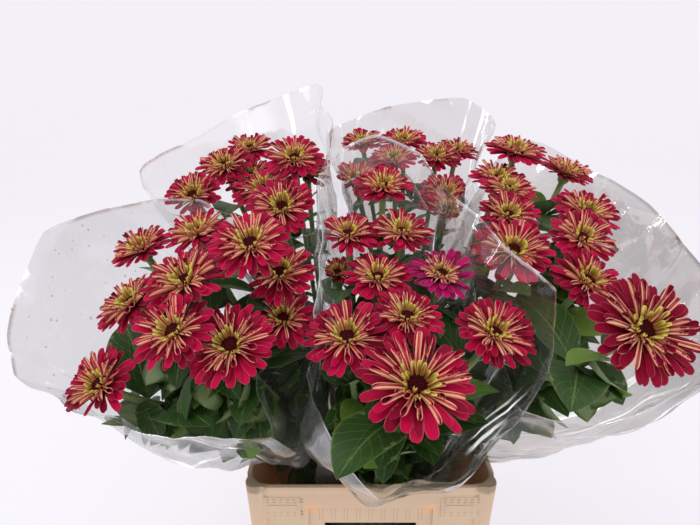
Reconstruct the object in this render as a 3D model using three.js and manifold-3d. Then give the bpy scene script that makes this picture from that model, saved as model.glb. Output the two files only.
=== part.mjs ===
// Five bunches of cut zinnias, each in a sleeve of clear film, standing in the water of a plastic flower crate.
// Millimetres, +Z up. The origin is the middle of the crate's underside, and its short side faces -Y.
import * as THREE from "three";
import { mergeVertices } from "three/addons/utils/BufferGeometryUtils.js";
import Module from "manifold-3d";

const wasm = await Module();
wasm.setup();

// Crate: a tapered tub with corner posts, and a ribbed hand-hole in each short side
const CRATE_WIDTH = 300;
const CRATE_LENGTH = 400;
const CRATE_HEIGHT = 300;
const CRATE_TAPER = 12;
const CRATE_WALL = 2.6;
const CRATE_FLOOR = 4;
const CRATE_CORNER = 26;
const CORNER_STEPS = 3;
const RIM_HEIGHT = 9;
const RIM_REACH = 3;
const POST_TOP = 24;
const POST_FOOT = 40;
const POST_PROUD = 2.4;
const POST_CORNER = 0.42;
const GRIP_WIDTH = 150;
const GRIP_TOP = 271;
const GRIP_FOOT = 205;
const GRIP_BACK = 160;
const GRIP_MARGIN = 16;
const GRIP_DEPTH = 4;
const GRIP_SLOPE = 9;
const HAND_HOLE = { width: 112, height: 30, middle: 225, cut: 80 };
const RIBS = { count: 9, width: 3, depth: 3, pitch: 15, above: 1, below: 3 };
const PLATE = { width: 44, height: 30, middle: 268, across: 106, proud: 1.2 };

// Water: its surface, the hole that each bunch stands in, and the gap between pieces that touch
const WATER_LEVEL = 70;
const WATER_HOLE = 24;
const HOLE_SIDES = 8;
const SEAT_GAP = 0.3;

// Stems: they stand in a ring round a packed core, where the rubber band holds them
const STEM_RADIUS = 3.5;
const STEM_SIDES = 5;
const STEM_SPACING = 7.8;
const FOOT_SPREAD = 1.45;
const WAIST_HEIGHT = 100;
const STEM_STEPS = [0, 0.38, 0.72];
const STEM_BEND = 0.36;
const CORE_BITE = 2.4;
const CORE_HALF_HEIGHT = 11;
const CORE_SIDES = 6;
const GATE_HEIGHT = 304;
const GATE_SHARE = 0.14;
const GATE_LIFT = 30;
const FAN_HEIGHT = 200;
const PEDUNCLE_RADIUS = 4.3;
const CALYX_LENGTH = 11;
const CALYX_RADIUS = 8.4;
const BAND_HEIGHT = 5;
const BAND_THICKNESS = 2.4;
const BAND_SLACK = 1.6;
const BAND_SIDES = 11;

// Blooms: a core with a band of quads for each layer, and a petal that grows out of each quad. The layers, from
// the outside in, hold the petals' rise over the disc's plane in degrees, how much it varies, their length
// against the bloom's reach, and how much of their own wedge they fill.
const CORE_SHARE = 0.105;
const CORE_TOP_SHARE = 0.82;
const UNDERSIDE_DEPTH = 7;
const LAYER_ROOT = 3.2;
const LAYERS = [
  { rise: 7, varies: 9, length: 1, fill: 0.8 },
  { rise: 36, varies: 12, length: 0.66, fill: 0.56 },
];
const LAYER_APART = 20;
const STEEPEST = 84;
const SHORTEST_SHARE = 0.9;
const SHOULDER_SHARE = 0.74;
const TIP_DROOP = 0.05;
const PETAL_CLEAR = 1.2;
const LIFTS = [0, 8, 16, 26, 36, 46];
const SHORTER = [1, 0.86, 0.72, 0.58, 0.44, 0.3];
const QUILL_ROOT = 2.6;
const QUILLS_FROM = 9;
const QUILL_SPREAD = 1.35;
const QUILL_RISE = 0.07;
const DISC_RISE = 1.6;

// How far the heads nod to the front: least in the front row, more with each millimetre behind it
const FRONT = new THREE.Vector3(0, -700, 740);
const FRONT_ROW = -300;
const NOD_FRONT = 0.1;
const NOD_PER_DEPTH = 1 / 450;
const NOD_MOST = 0.55;

// Leaves: the sections hold how far along the blade they lie, their width and how far they drop, as shares
const LEAF_LENGTH = [78, 108];
const LEAF_WIDTH_SHARE = 0.62;
const LEAF_SECTIONS = [
  [0.3, 0.94, 0.02],
  [0.68, 0.82, -0.03],
];
const LEAF_FOLD = 0.22;
const LEAF_TIP_DROP = 0.16;
const LEAF_THICKNESS = 1.5;
const LEAF_PLACE = [0.4, 0.88];
const LEAF_SEAT = 1.8;
const LEAF_RISE = [0.1, 0.95];
const LEAF_TURN = 0.5;
const LEAF_SMALL = 0.7;
const LEAF_CLEAR = 1.04;
const LEAF_TRIES = 500;
const LEAF_SIZE_WORTH = 40;
const LEAF_LEAN = 0.55;
const STEM_STRIDE = 0.02;
const LEAF_SEED = 911;
const LIGHT_FROM = new THREE.Vector3(0, -0.8, 0.6);

// Film
const FILM = 0.7;
const FILM_MITRE = 0.5;
const FILM_FOOT = 80;
const FILM_ROWS_BELOW = [80, 276, 304];
const FILM_ROWS_ABOVE = [0.5, 1];
const FILM_RADIUS_BELOW = [22, 80, 86];
const FILM_CELL_GAP = 12;
const FILM_WALL_GAP = 0.4;
const FILM_SAG = 18;
const FILM_SAG_FROM = 230;
const FILM_SAG_TO = 330;
const REACH_STEP = 0.25;

// The bunches. foot and gate are the middles of the stems at the floor and at the crate's rim; mouth goes round
// the upper edge of the film; blooms holds the middle of each flower's disc, its size, and how many petals a
// layer has, and nod how far a head leans to the front where it differs from its neighbours; pairs names the
// flowers, counted from 1, that are pressed into each other and share a node; press is how far the half-way film
// keeps from the planes to its neighbours, and sag how far it hangs down outside the crate.
const BUNCHES = {
  a: {
    foot: [-62, -50],
    gate: [-84, -62],
    sag: 46,
    leaves: 18,
    mouth: [
      [-98, -296, 442],
      [-112, -240, 472],
      [-80, -190, 480],
      [-84, -148, 540],
      [-120, -142, 602],
      [-195, -98, 616],
      [-258, -78, 616],
      [-317, -84, 608],
      [-352, -160, 598],
      [-362, -225, 530],
      [-345, -262, 485],
      [-296, -284, 460],
      [-213, -298, 458],
      [-150, -302, 450],
    ],
    blooms: [
      { at: [-270, -253, 469], across: 83, petals: 10 },
      { at: [-266, -123, 570], across: 79, petals: 8, nod: 0.25 },
      { at: [-186, -222, 566], across: 94, petals: 9, nod: 0.05 },
      { at: [-250, -205, 536], across: 81, petals: 8, nod: 0.05 },
      { at: [-186, -268, 534], across: 83, petals: 9 },
      { at: [-195, -138, 593], across: 83, petals: 8, nod: 0.15 },
      { at: [-123, -209, 600], across: 87, petals: 10 },
      { at: [-137, -262, 517], across: 91, petals: 10 },
      { at: [-98, -190, 563], across: 83, petals: 9 },
      { at: [-95, -200, 516], across: 75, petals: 8 },
    ],
  },
  b: {
    foot: [-58, 80],
    gate: [-72, 92],
    leaves: 12,
    mouth: [
      [-72, -112, 588],
      [-68, -60, 608],
      [-56, -10, 640],
      [-56, 50, 670],
      [-70, 130, 722],
      [-78, 215, 754],
      [-138, 188, 733],
      [-191, 160, 713],
      [-245, 86, 681],
      [-285, 12, 660],
      [-300, -12, 642],
      [-245, -56, 598],
      [-180, -66, 590],
      [-125, -108, 588],
    ],
    pairs: [[4, 6]],
    blooms: [
      { at: [-201, 39, 643], across: 87, petals: 8 },
      { at: [-178, 115, 659], across: 79, petals: 8 },
      { at: [-101, 25, 655], across: 87, petals: 8 },
      { at: [-166, 36, 628], across: 79, petals: 8 },
      { at: [-231, -20, 612], across: 85, petals: 8 },
      { at: [-142, -4, 617], across: 87, petals: 8 },
      { at: [-109, -66, 606], across: 94, petals: 8 },
      { at: [-86, 62, 630], across: 81, petals: 8 },
    ],
  },
  c: {
    foot: [58, 85],
    gate: [68, 98],
    press: -9,
    leaves: 12,
    mouth: [
      [88, -50, 586],
      [112, -36, 592],
      [142, 40, 630],
      [174, 95, 670],
      [206, 198, 702],
      [168, 240, 732],
      [100, 262, 724],
      [37, 262, 715],
      [-42, 225, 687],
      [-58, 150, 672],
      [-46, 90, 640],
      [-34, 40, 620],
      [-12, 12, 632],
      [46, -8, 636],
    ],
    pairs: [[7, 8]],
    blooms: [
      { at: [-4, 205, 660], across: 83, petals: 8 },
      { at: [63, 185, 664], across: 87, petals: 8 },
      { at: [42, 122, 642], across: 81, petals: 8 },
      { at: [109, 124, 645], across: 83, petals: 8 },
      { at: [-16, 84, 616], across: 83, petals: 8 },
      { at: [152, 182, 648], across: 81, petals: 8 },
      { at: [110, 32, 603], across: 87, petals: 8 },
      { at: [104, -14, 590], across: 84, petals: 8 },
    ],
  },
  d: {
    foot: [62, -45],
    gate: [84, -55],
    press: 10,
    sag: 42,
    leaves: 20,
    mouth: [
      [150, -240, 432],
      [215, -278, 450],
      [300, -286, 490],
      [368, -252, 508],
      [388, -190, 525],
      [380, -125, 552],
      [374, -15, 598],
      [345, 70, 625],
      [272, 125, 662],
      [214, 122, 672],
      [174, 40, 640],
      [136, -30, 596],
      [118, -96, 560],
      [126, -180, 480],
    ],
    pairs: [[3, 4]],
    blooms: [
      { at: [204, 35, 664], across: 89, petals: 8 },
      { at: [287, 56, 631], across: 85, petals: 8 },
      { at: [173, 3, 630], across: 81, petals: 8 },
      { at: [177, -38, 623], across: 79, petals: 8 },
      { at: [259, -84, 603], across: 89, petals: 8 },
      { at: [237, -130, 584], across: 85, petals: 8 },
      { at: [164, -88, 601], across: 81, petals: 8 },
      { at: [228, -178, 550], across: 85, petals: 9 },
      { at: [238, -276, 539], across: 107, petals: 12, nod: 0.6 },
      { at: [152, -158, 578], across: 96, petals: 9 },
    ],
  },
  e: {
    foot: [0, -125],
    gate: [0, -135],
    leaves: 22,
    mouth: [
      [0, -322, 395],
      [75, -310, 405],
      [130, -286, 450],
      [166, -262, 520],
      [172, -244, 566],
      [128, -214, 598],
      [106, -160, 620],
      [84, -98, 642],
      [64, -42, 668],
      [8, -24, 690],
      [-42, -36, 670],
      [-60, -80, 644],
      [-56, -170, 560],
      [-68, -262, 484],
    ],
    blooms: [
      { at: [-27, -124, 587], across: 77, petals: 8 },
      { at: [34, -119, 588], across: 81, petals: 8 },
      { at: [74, -168, 554], across: 79, petals: 9 },
      { at: [5, -170, 551], across: 81, petals: 8 },
      { at: [-40, -112, 536], across: 62, petals: 8 },
      { at: [32, -222, 528], across: 79, petals: 9 },
      { at: [-28, -240, 514], across: 92, petals: 11 },
      { at: [116, -237, 517], across: 85, petals: 9 },
      { at: [34, -296, 495], across: 114, petals: 12 },
      { at: [16, -66, 632], across: 81, petals: 9 },
    ],
  },
};

const UP = new THREE.Vector3(0, 0, 1);

// Small helpers
function vector(point) {
  return new THREE.Vector3(...point);
}

function onPlan(angle) {
  return new THREE.Vector3(Math.cos(angle), Math.sin(angle), 0);
}

// Numbers between 0 and 1 that are the same on every run
function seeded(seed) {
  let state = seed * 2654435761;
  return () => {
    state = (state + 0x6d2b79f5) | 0;
    let t = Math.imul(state ^ (state >>> 15), 1 | state);
    t = (t + Math.imul(t ^ (t >>> 7), 61 | t)) ^ t;
    return ((t ^ (t >>> 14)) >>> 0) / 4294967296;
  };
}

function meshOf(points, faces) {
  const geometry = new THREE.BufferGeometry().setFromPoints(points);
  geometry.setIndex(faces.flat());
  return geometry;
}

function solidOf(geometry) {
  const bare = geometry.index ? geometry.clone() : geometry;
  bare.deleteAttribute("normal");
  bare.deleteAttribute("uv");
  const merged = mergeVertices(bare, 1e-4);
  return new wasm.Manifold(
    new wasm.Mesh({
      numProp: 3,
      vertProperties: new Float32Array(merged.attributes.position.array),
      triVerts: new Uint32Array(merged.index.array),
    }),
  );
}

function geometryOf(solid) {
  const mesh = solid.getMesh();
  const geometry = new THREE.BufferGeometry();
  geometry.setAttribute("position", new THREE.BufferAttribute(mesh.vertProperties, 3));
  geometry.setIndex(new THREE.BufferAttribute(mesh.triVerts, 1));
  geometry.computeVertexNormals();
  return geometry;
}

function joined(solids) {
  return solids.reduce((sum, solid) => sum.add(solid));
}

// The largest body of a solid, without sealed hollows and loose scraps
function wholeBody(solid) {
  const bodies = solid.decompose();
  return bodies.reduce((best, body) => (body.volume() > best.volume() ? body : best));
}

// A closed skin over rings of points that all have the same count, with a flat cap at each end
function loft(rings) {
  const count = rings[0].length;
  const faces = [];
  rings.slice(1).forEach((ring, row) => {
    for (let k = 0; k < count; k += 1) {
      const a = row * count + k;
      const b = row * count + ((k + 1) % count);
      faces.push([a, b, b + count], [a, b + count, a + count]);
    }
  });
  const last = (rings.length - 1) * count;
  for (let k = 1; k < count - 1; k += 1) {
    faces.push([0, k + 1, k], [last, last + k, last + k + 1]);
  }
  return meshOf(rings.flat(), faces);
}

// A stalk along a row of points, each with its own radius
function stalk(points, radii) {
  let side = new THREE.Vector3(1, 0, 0);
  const rings = points.map((point, i) => {
    const ahead = points[Math.min(i + 1, points.length - 1)];
    const behind = points[Math.max(i - 1, 0)];
    const along = ahead.clone().sub(behind).normalize();
    side = side.clone().addScaledVector(along, -side.dot(along)).normalize();
    const other = along.clone().cross(side);
    return Array.from({ length: STEM_SIDES }, (_, k) => {
      const angle = (k / STEM_SIDES) * 2 * Math.PI;
      return point
        .clone()
        .addScaledVector(side, radii[i] * Math.cos(angle))
        .addScaledVector(other, radii[i] * Math.sin(angle));
    });
  });
  return loft(rings);
}

// A rectangle with round corners, counter-clockwise
function roundedRectangle(width, length, corner, z) {
  const points = [];
  const centres = [
    [1, 1],
    [-1, 1],
    [-1, -1],
    [1, -1],
  ];
  centres.forEach(([sx, sy], quarter) => {
    for (let k = 0; k <= CORNER_STEPS; k += 1) {
      const angle = ((quarter + k / CORNER_STEPS) * Math.PI) / 2;
      points.push(
        new THREE.Vector3(
          sx * (width / 2 - corner) + corner * Math.cos(angle),
          sy * (length / 2 - corner) + corner * Math.sin(angle),
          z,
        ),
      );
    }
  });
  return points;
}

function box(width, depth, height, x, y, z) {
  return solidOf(new THREE.BoxGeometry(width, depth, height).translate(x, y, z));
}

// What a piece placed later keeps clear of: triangles sorted into cells of space
class Occupied {
  constructor(cell) {
    this.cell = cell;
    this.cells = new Map();
  }

  keysOf(triangle) {
    const bounds = new THREE.Box3().setFromPoints(triangle);
    const low = bounds.min.divideScalar(this.cell).floor();
    const high = bounds.max.divideScalar(this.cell).floor();
    const keys = [];
    for (let x = low.x; x <= high.x; x += 1) {
      for (let y = low.y; y <= high.y; y += 1) {
        for (let z = low.z; z <= high.z; z += 1) {
          keys.push((x * 4096 + y) * 4096 + z);
        }
      }
    }
    return keys;
  }

  add(triangles, owner) {
    triangles.forEach((triangle) => {
      const entry = { triangle, owner };
      this.keysOf(triangle).forEach((key) => {
        if (!this.cells.has(key)) this.cells.set(key, []);
        this.cells.get(key).push(entry);
      });
    });
  }

  meets(triangles, except) {
    return triangles.some((triangle) => {
      const near = this.keysOf(triangle).flatMap((key) => this.cells.get(key) ?? []);
      return near.some((entry) => entry.owner !== except && trianglesCross(triangle, entry.triangle));
    });
  }
}

function edgeCrosses(from, to, triangle) {
  const along = to.clone().sub(from);
  const ray = new THREE.Ray(from, along.clone().normalize());
  const hit = ray.intersectTriangle(triangle[0], triangle[1], triangle[2], false, new THREE.Vector3());
  return hit !== null && hit.distanceTo(from) <= along.length();
}

function trianglesCross(one, other) {
  if (!new THREE.Box3().setFromPoints(one).intersectsBox(new THREE.Box3().setFromPoints(other))) return false;
  return [0, 1, 2].some(
    (k) =>
      edgeCrosses(one[k], one[(k + 1) % 3], other) || edgeCrosses(other[k], other[(k + 1) % 3], one),
  );
}

function trianglesOf(geometry) {
  const position = geometry.attributes.position;
  const index = geometry.index.array;
  const points = Array.from({ length: position.count }, (_, i) =>
    new THREE.Vector3().fromBufferAttribute(position, i),
  );
  const triangles = [];
  for (let i = 0; i < index.length; i += 3) {
    triangles.push([points[index[i]], points[index[i + 1]], points[index[i + 2]]]);
  }
  return triangles;
}

// Crate
function insetAt(z) {
  return CRATE_TAPER * (1 - z / CRATE_HEIGHT) + RIM_REACH;
}

function crateRing(z, inset, corner) {
  return roundedRectangle(CRATE_WIDTH - 2 * inset, CRATE_LENGTH - 2 * inset, corner, z);
}

function crateShell() {
  const outer = loft([
    crateRing(0, insetAt(0), CRATE_CORNER),
    crateRing(CRATE_HEIGHT, insetAt(CRATE_HEIGHT), CRATE_CORNER),
  ]);
  const rim = loft([
    crateRing(CRATE_HEIGHT - RIM_HEIGHT, 0, CRATE_CORNER),
    crateRing(CRATE_HEIGHT, 0, CRATE_CORNER),
  ]);
  return solidOf(outer).add(solidOf(rim));
}

function crateCavity() {
  const above = CRATE_HEIGHT + 1;
  const corner = CRATE_CORNER - CRATE_WALL;
  return solidOf(
    loft([
      crateRing(CRATE_FLOOR, insetAt(CRATE_FLOOR) + CRATE_WALL, corner),
      crateRing(above, insetAt(above) + CRATE_WALL, corner),
    ]),
  );
}

// A post stands a little proud of both walls at a corner, and widens towards its foot
function cratePost(sx, sy) {
  const rings = [
    [0, POST_FOOT],
    [CRATE_HEIGHT, POST_TOP],
  ].map(([z, size]) => {
    const inset = insetAt(z) - POST_PROUD;
    const x = sx * (CRATE_WIDTH / 2 - inset - size / 2);
    const y = sy * (CRATE_LENGTH / 2 - inset - size / 2);
    const outline = roundedRectangle(size, size, size * POST_CORNER, z);
    return outline.map((point) => point.add(new THREE.Vector3(x, y, 0)));
  });
  return solidOf(loft(rings));
}

// A recess in a short side, whose back wall carries upright ribs and the hand-hole
function gripRecess(sy) {
  const face = CRATE_LENGTH / 2 + 1;
  const depthAt = (z) => insetAt(z) + GRIP_DEPTH;
  const profile = [
    [GRIP_FOOT, face],
    [GRIP_TOP, face],
    [GRIP_TOP - GRIP_SLOPE, CRATE_LENGTH / 2 - depthAt(GRIP_TOP)],
    [GRIP_FOOT, CRATE_LENGTH / 2 - depthAt(GRIP_FOOT)],
  ];
  const ends = [-GRIP_WIDTH / 2, GRIP_WIDTH / 2];
  const rings = ends.map((x) => profile.map(([z, y]) => new THREE.Vector3(x, sy * y, z)));
  return solidOf(loft(sy > 0 ? rings : rings.reverse()));
}

function gripBacking(sy) {
  const inner = CRATE_LENGTH / 2 - insetAt(GRIP_FOOT) - GRIP_DEPTH - CRATE_WALL;
  const outer = CRATE_LENGTH / 2 - insetAt(GRIP_FOOT) - CRATE_WALL / 2;
  const low = GRIP_FOOT - CRATE_WALL;
  const high = GRIP_TOP + CRATE_WALL;
  return box(GRIP_BACK, outer - inner, high - low, 0, (sy * (inner + outer)) / 2, (low + high) / 2);
}

function gripRibs(sy) {
  const back = CRATE_LENGTH / 2 - insetAt(GRIP_FOOT) - GRIP_DEPTH;
  const y = sy * (back + RIBS.depth / 2 - RIBS.above);
  const low = HAND_HOLE.middle + HAND_HOLE.height / 2 + RIBS.above;
  const height = GRIP_TOP - RIBS.below - low;
  return Array.from({ length: RIBS.count }, (_, k) => {
    const x = (k - (RIBS.count - 1) / 2) * RIBS.pitch;
    return box(RIBS.width, RIBS.depth, height, x, y, low + height / 2);
  });
}

function cratePlates(sy) {
  const y = sy * (CRATE_LENGTH / 2 - insetAt(PLATE.middle));
  return [-1, 1].map((sx) =>
    box(PLATE.width, 2 * PLATE.proud, PLATE.height, sx * PLATE.across, y, PLATE.middle),
  );
}

function handHole(sy) {
  const { width, height, middle, cut } = HAND_HOLE;
  return box(width, cut, height, 0, (sy * CRATE_LENGTH) / 2, middle);
}

function crate() {
  const cavity = crateCavity();
  let tub = crateShell();
  [-1, 1].forEach((sy) => {
    tub = joined([tub, cratePost(-1, sy), cratePost(1, sy)]);
  });
  tub = tub.subtract(cavity);
  [-1, 1].forEach((sy) => {
    tub = tub.add(gripBacking(sy)).subtract(gripRecess(sy));
    tub = joined([tub, ...gripRibs(sy), ...cratePlates(sy)]);
    tub = tub.subtract(handHole(sy));
  });
  return tub;
}

function waterHole(bunch) {
  const hole = new THREE.CylinderGeometry(WATER_HOLE, WATER_HOLE, 3 * WATER_LEVEL, HOLE_SIDES);
  return solidOf(hole.rotateX(Math.PI / 2).translate(bunch.foot[0], bunch.foot[1], 0));
}

function water(bunches) {
  const corner = CRATE_CORNER - CRATE_WALL;
  const rings = [CRATE_FLOOR + SEAT_GAP, WATER_LEVEL].map((z) =>
    crateRing(z, insetAt(z) + CRATE_WALL + SEAT_GAP, corner),
  );
  return bunches.reduce((pool, bunch) => pool.subtract(waterHole(bunch)), solidOf(loft(rings)));
}

// Film: each ring of the sleeve stays in its bunch's own cell and inside the crate, and above the rim it
// runs out to the mouth
function middleAt(bunch, z) {
  const share = (z - FILM_FOOT) / (GATE_HEIGHT - FILM_FOOT);
  return new THREE.Vector2(...bunch.foot).lerp(new THREE.Vector2(...bunch.gate), share);
}

function insideCrate(x, y, z) {
  const inset = insetAt(Math.min(z, CRATE_HEIGHT)) + CRATE_WALL + FILM_WALL_GAP;
  const corner = CRATE_CORNER - CRATE_WALL;
  const grip = CRATE_LENGTH / 2 - insetAt(GRIP_FOOT) - GRIP_DEPTH - CRATE_WALL - FILM_WALL_GAP;
  if (z < CRATE_HEIGHT && Math.abs(x) < GRIP_BACK / 2 + GRIP_MARGIN && Math.abs(y) > grip) return false;
  const dx = Math.max(Math.abs(x) - (CRATE_WIDTH / 2 - inset - corner), 0);
  const dy = Math.max(Math.abs(y) - (CRATE_LENGTH / 2 - inset - corner), 0);
  return Math.hypot(dx, dy) <= corner;
}

function reachAt(bunch, others, angle, z, most) {
  const middle = middleAt(bunch, z);
  const out = new THREE.Vector2(Math.cos(angle), Math.sin(angle));
  let reach = most;
  others.forEach((other) => {
    const apart = middleAt(other, z).sub(middle);
    const towards = out.dot(apart) / apart.length();
    if (towards > 0) reach = Math.min(reach, (apart.length() / 2 - FILM_CELL_GAP) / towards);
  });
  while (!insideCrate(middle.x + out.x * reach, middle.y + out.y * reach, z)) {
    reach -= REACH_STEP;
  }
  return reach;
}

// Half way up to the mouth, a film whose bunch says so is pressed back from the planes between the bunches
function pressedBack(point, bunch, others) {
  if (bunch.press === undefined) return point;
  others.forEach((other) => {
    const here = middleAt(bunch, GATE_HEIGHT);
    const apart = middleAt(other, GATE_HEIGHT).sub(here);
    const out = apart.clone().normalize();
    const past = new THREE.Vector2(point.x, point.y).sub(here).dot(out) - apart.length() / 2 + bunch.press;
    if (past > 0) point.add(new THREE.Vector3(-out.x * past, -out.y * past, 0));
  });
  return point;
}

function filmRows(bunch, others) {
  const mouth = bunch.mouth.map(vector);
  const centre = mouth.reduce((sum, p) => sum.add(p), new THREE.Vector3()).divideScalar(mouth.length);
  const angles = mouth.map((p) => Math.atan2(p.y - centre.y, p.x - centre.x));
  const rows = FILM_ROWS_BELOW.map((z, i) =>
    angles.map((angle) => {
      const middle = middleAt(bunch, z);
      const reach = reachAt(bunch, others, angle, z, FILM_RADIUS_BELOW[i]);
      return new THREE.Vector3(middle.x, middle.y, z).addScaledVector(onPlan(angle), reach);
    }),
  );
  const gate = rows[rows.length - 1];
  FILM_ROWS_ABOVE.forEach((share) => {
    rows.push(
      mouth.map((end, k) => {
        const outside = THREE.MathUtils.smoothstep(Math.hypot(end.x, end.y), FILM_SAG_FROM, FILM_SAG_TO);
        const sag = (bunch.sag ?? FILM_SAG) * outside * Math.sin(Math.PI * share);
        const point = gate[k].clone().lerp(end, share).addScaledVector(UP, -sag);
        return share < 1 ? pressedBack(point, bunch, others) : point;
      }),
    );
  });
  return rows;
}

// The two triangles of each cell of the film's outer face
function filmFaces(rows) {
  const count = rows[0].length;
  const faces = [];
  for (let row = 0; row < rows.length - 1; row += 1) {
    for (let k = 0; k < count; k += 1) {
      const a = row * count + k;
      const b = row * count + ((k + 1) % count);
      faces.push([a, b, b + count], [a, b + count, a + count]);
    }
  }
  return faces;
}

// Where each point of the film goes on its inner face, so that no cell gets thinner than the film
function innerPoints(points, faces) {
  const normals = faces.map((face) => {
    const [a, b, c] = face.map((i) => points[i]);
    return new THREE.Triangle(a, b, c).getNormal(new THREE.Vector3());
  });
  return points.map((point, i) => {
    const around = normals.filter((_, f) => faces[f].includes(i));
    const mean = around.reduce((sum, normal) => sum.add(normal), new THREE.Vector3()).normalize();
    const least = Math.min(...around.map((normal) => normal.dot(mean)));
    return point.clone().addScaledVector(mean, -FILM / Math.max(least, FILM_MITRE));
  });
}

// The film's two faces are split along the same diagonals, and joined at the foot and at the mouth
function filmShell(rows) {
  const count = rows[0].length;
  const outer = rows.flat();
  const faces = filmFaces(rows);
  const points = [...outer, ...innerPoints(outer, faces)];
  const inside = faces.map((face) => face.map((i) => i + outer.length).reverse());
  const last = outer.length - count;
  const edges = Array.from({ length: count }, (_, k) => {
    const n = (k + 1) % count;
    const [foot, nextFoot, mouth, nextMouth] = [k, n, last + k, last + n];
    return [
      [nextFoot, foot, foot + outer.length],
      [nextFoot, foot + outer.length, nextFoot + outer.length],
      [mouth, nextMouth, nextMouth + outer.length],
      [mouth, nextMouth + outer.length, mouth + outer.length],
    ];
  });
  return meshOf(points, [...faces, ...inside, ...edges.flat()]);
}

// Stems: up from the floor, through the band and the crate's rim, and fanned out to the heads
function wayTo(bunch, bloom) {
  return vector(bloom.at)
    .sub(new THREE.Vector3(...bunch.gate, FAN_HEIGHT))
    .normalize();
}

// A head looks the way its stem goes, and nods to the front, more so further back
function facing(bunch, bloom) {
  const at = vector(bloom.at);
  const nod = THREE.MathUtils.clamp(NOD_FRONT + (at.y - FRONT_ROW) * NOD_PER_DEPTH, NOD_FRONT, NOD_MOST);
  const front = FRONT.clone().sub(at).normalize();
  return wayTo(bunch, bloom)
    .addScaledVector(front, bloom.nod ?? nod)
    .normalize();
}

function meanHead(bunch) {
  const sum = bunch.blooms.reduce((total, bloom) => total.add(vector(bloom.at)), new THREE.Vector3());
  return sum.divideScalar(bunch.blooms.length);
}

// The ring's radius that sets the bunch's stems side by side
function stemRing(bunch) {
  return (bunch.blooms.length * STEM_SPACING) / (2 * Math.PI);
}

// Each head gets a place in the ring of stems, in the order in which the heads lie round their middle
function ringAngles(bunch) {
  const mean = meanHead(bunch);
  const around = bunch.blooms.map((bloom, i) => ({
    i,
    angle: Math.atan2(bloom.at[1] - mean.y, bloom.at[0] - mean.x),
  }));
  around.sort((p, q) => p.angle - q.angle);
  const angles = [];
  around.forEach(({ i }, place) => {
    angles[i] = around[0].angle + (place / around.length) * 2 * Math.PI;
  });
  return angles;
}

function stemPath(bunch, bloom, angle) {
  const mean = meanHead(bunch);
  const ring = onPlan(angle).multiplyScalar(stemRing(bunch));
  const foot = new THREE.Vector3(...bunch.foot, CRATE_FLOOR + SEAT_GAP).addScaledVector(ring, FOOT_SPREAD);
  const waist = new THREE.Vector3(...bunch.foot, WAIST_HEIGHT).add(ring);
  const gate = new THREE.Vector3(...bunch.gate, GATE_HEIGHT + GATE_LIFT);
  gate.x += (bloom.at[0] - mean.x) * GATE_SHARE;
  gate.y += (bloom.at[1] - mean.y) * GATE_SHARE;
  const out = facing(bunch, bloom);
  const top = vector(bloom.at).addScaledVector(out, -UNDERSIDE_DEPTH - SEAT_GAP);
  const neck = top.clone().addScaledVector(out, -CALYX_LENGTH);
  const bend = neck.clone().addScaledVector(wayTo(bunch, bloom), -STEM_BEND * neck.distanceTo(gate));
  const curve = new THREE.CubicBezierCurve3(waist, gate, bend, neck);
  return [foot, ...STEM_STEPS.map((t) => curve.getPoint(t)), neck, top];
}

function stem(path) {
  const radii = [STEM_RADIUS, ...STEM_STEPS.map(() => STEM_RADIUS), PEDUNCLE_RADIUS, CALYX_RADIUS];
  return stalk(path, radii);
}

// A place on the stem between its waist and its neck
function alongStem(path, share) {
  const steps = path.slice(1, -1);
  const at = share * (steps.length - 1);
  const step = Math.floor(at);
  return steps[step].clone().lerp(steps[step + 1], at - step);
}

// A leaf blade folded along its midrib, pointed at both ends: sections of four points, thick at the rib and sharp
// at the edge, with the upper and lower face split along the same diagonals
function leafBlade(root, out, length, turn) {
  const side = new THREE.Vector3().crossVectors(UP, out).normalize().applyAxisAngle(out, turn);
  const over = new THREE.Vector3().crossVectors(out, side);
  const width = length * LEAF_WIDTH_SHARE;
  const sections = LEAF_SECTIONS.map(([along, spread, drop]) => {
    const mid = root
      .clone()
      .addScaledVector(out, along * length)
      .addScaledVector(over, drop * length);
    const half = (width / 2) * spread;
    const edge = (sign) =>
      mid
        .clone()
        .addScaledVector(side, sign * half)
        .addScaledVector(over, LEAF_FOLD * half);
    return [
      edge(-1),
      mid.clone().addScaledVector(over, LEAF_THICKNESS / 2),
      edge(1),
      mid.clone().addScaledVector(over, -LEAF_THICKNESS / 2),
    ];
  });
  const tip = root.clone().addScaledVector(out, length).addScaledVector(over, -LEAF_TIP_DROP * length);
  const points = [...sections.flat(), tip, root];
  const faces = [];
  const last = 4 * (sections.length - 1);
  for (let k = 0; k < 4; k += 1) {
    const n = (k + 1) % 4;
    faces.push([points.length - 1, k, n]);
    for (let row = 0; row < last; row += 4) {
      const [a, b, c, d] = [row + k, row + 4 + k, row + 4 + n, row + n];
      if (k < 2) {
        faces.push([a, b, c], [a, c, d]);
      } else {
        faces.push([a, b, d], [b, c, d]);
      }
    }
    faces.push([last + k, points.length - 2, last + n]);
  }
  return meshOf(points, faces);
}

function between([low, high], share) {
  return low + (high - low) * share;
}

// A drawn place for one leaf; the later draws are smaller
function leafPlace(path, go, random) {
  const share = between(LEAF_PLACE, random());
  const middle = alongStem(path, share);
  const along = alongStem(path, share + STEM_STRIDE).sub(middle).normalize();
  const angle = random() * 2 * Math.PI;
  const rise = between(LEAF_RISE, random());
  const out = onPlan(angle).multiplyScalar(Math.cos(rise)).addScaledVector(UP, Math.sin(rise));
  const root = middle.addScaledVector(out, LEAF_SEAT);
  const length = between(LEAF_LENGTH, random()) * (go < LEAF_TRIES / 2 ? 1 : LEAF_SMALL);
  const turn = (random() - 0.5) * LEAF_TURN;
  return { root, out, length, turn, lean: Math.abs(out.dot(along)) };
}

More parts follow.
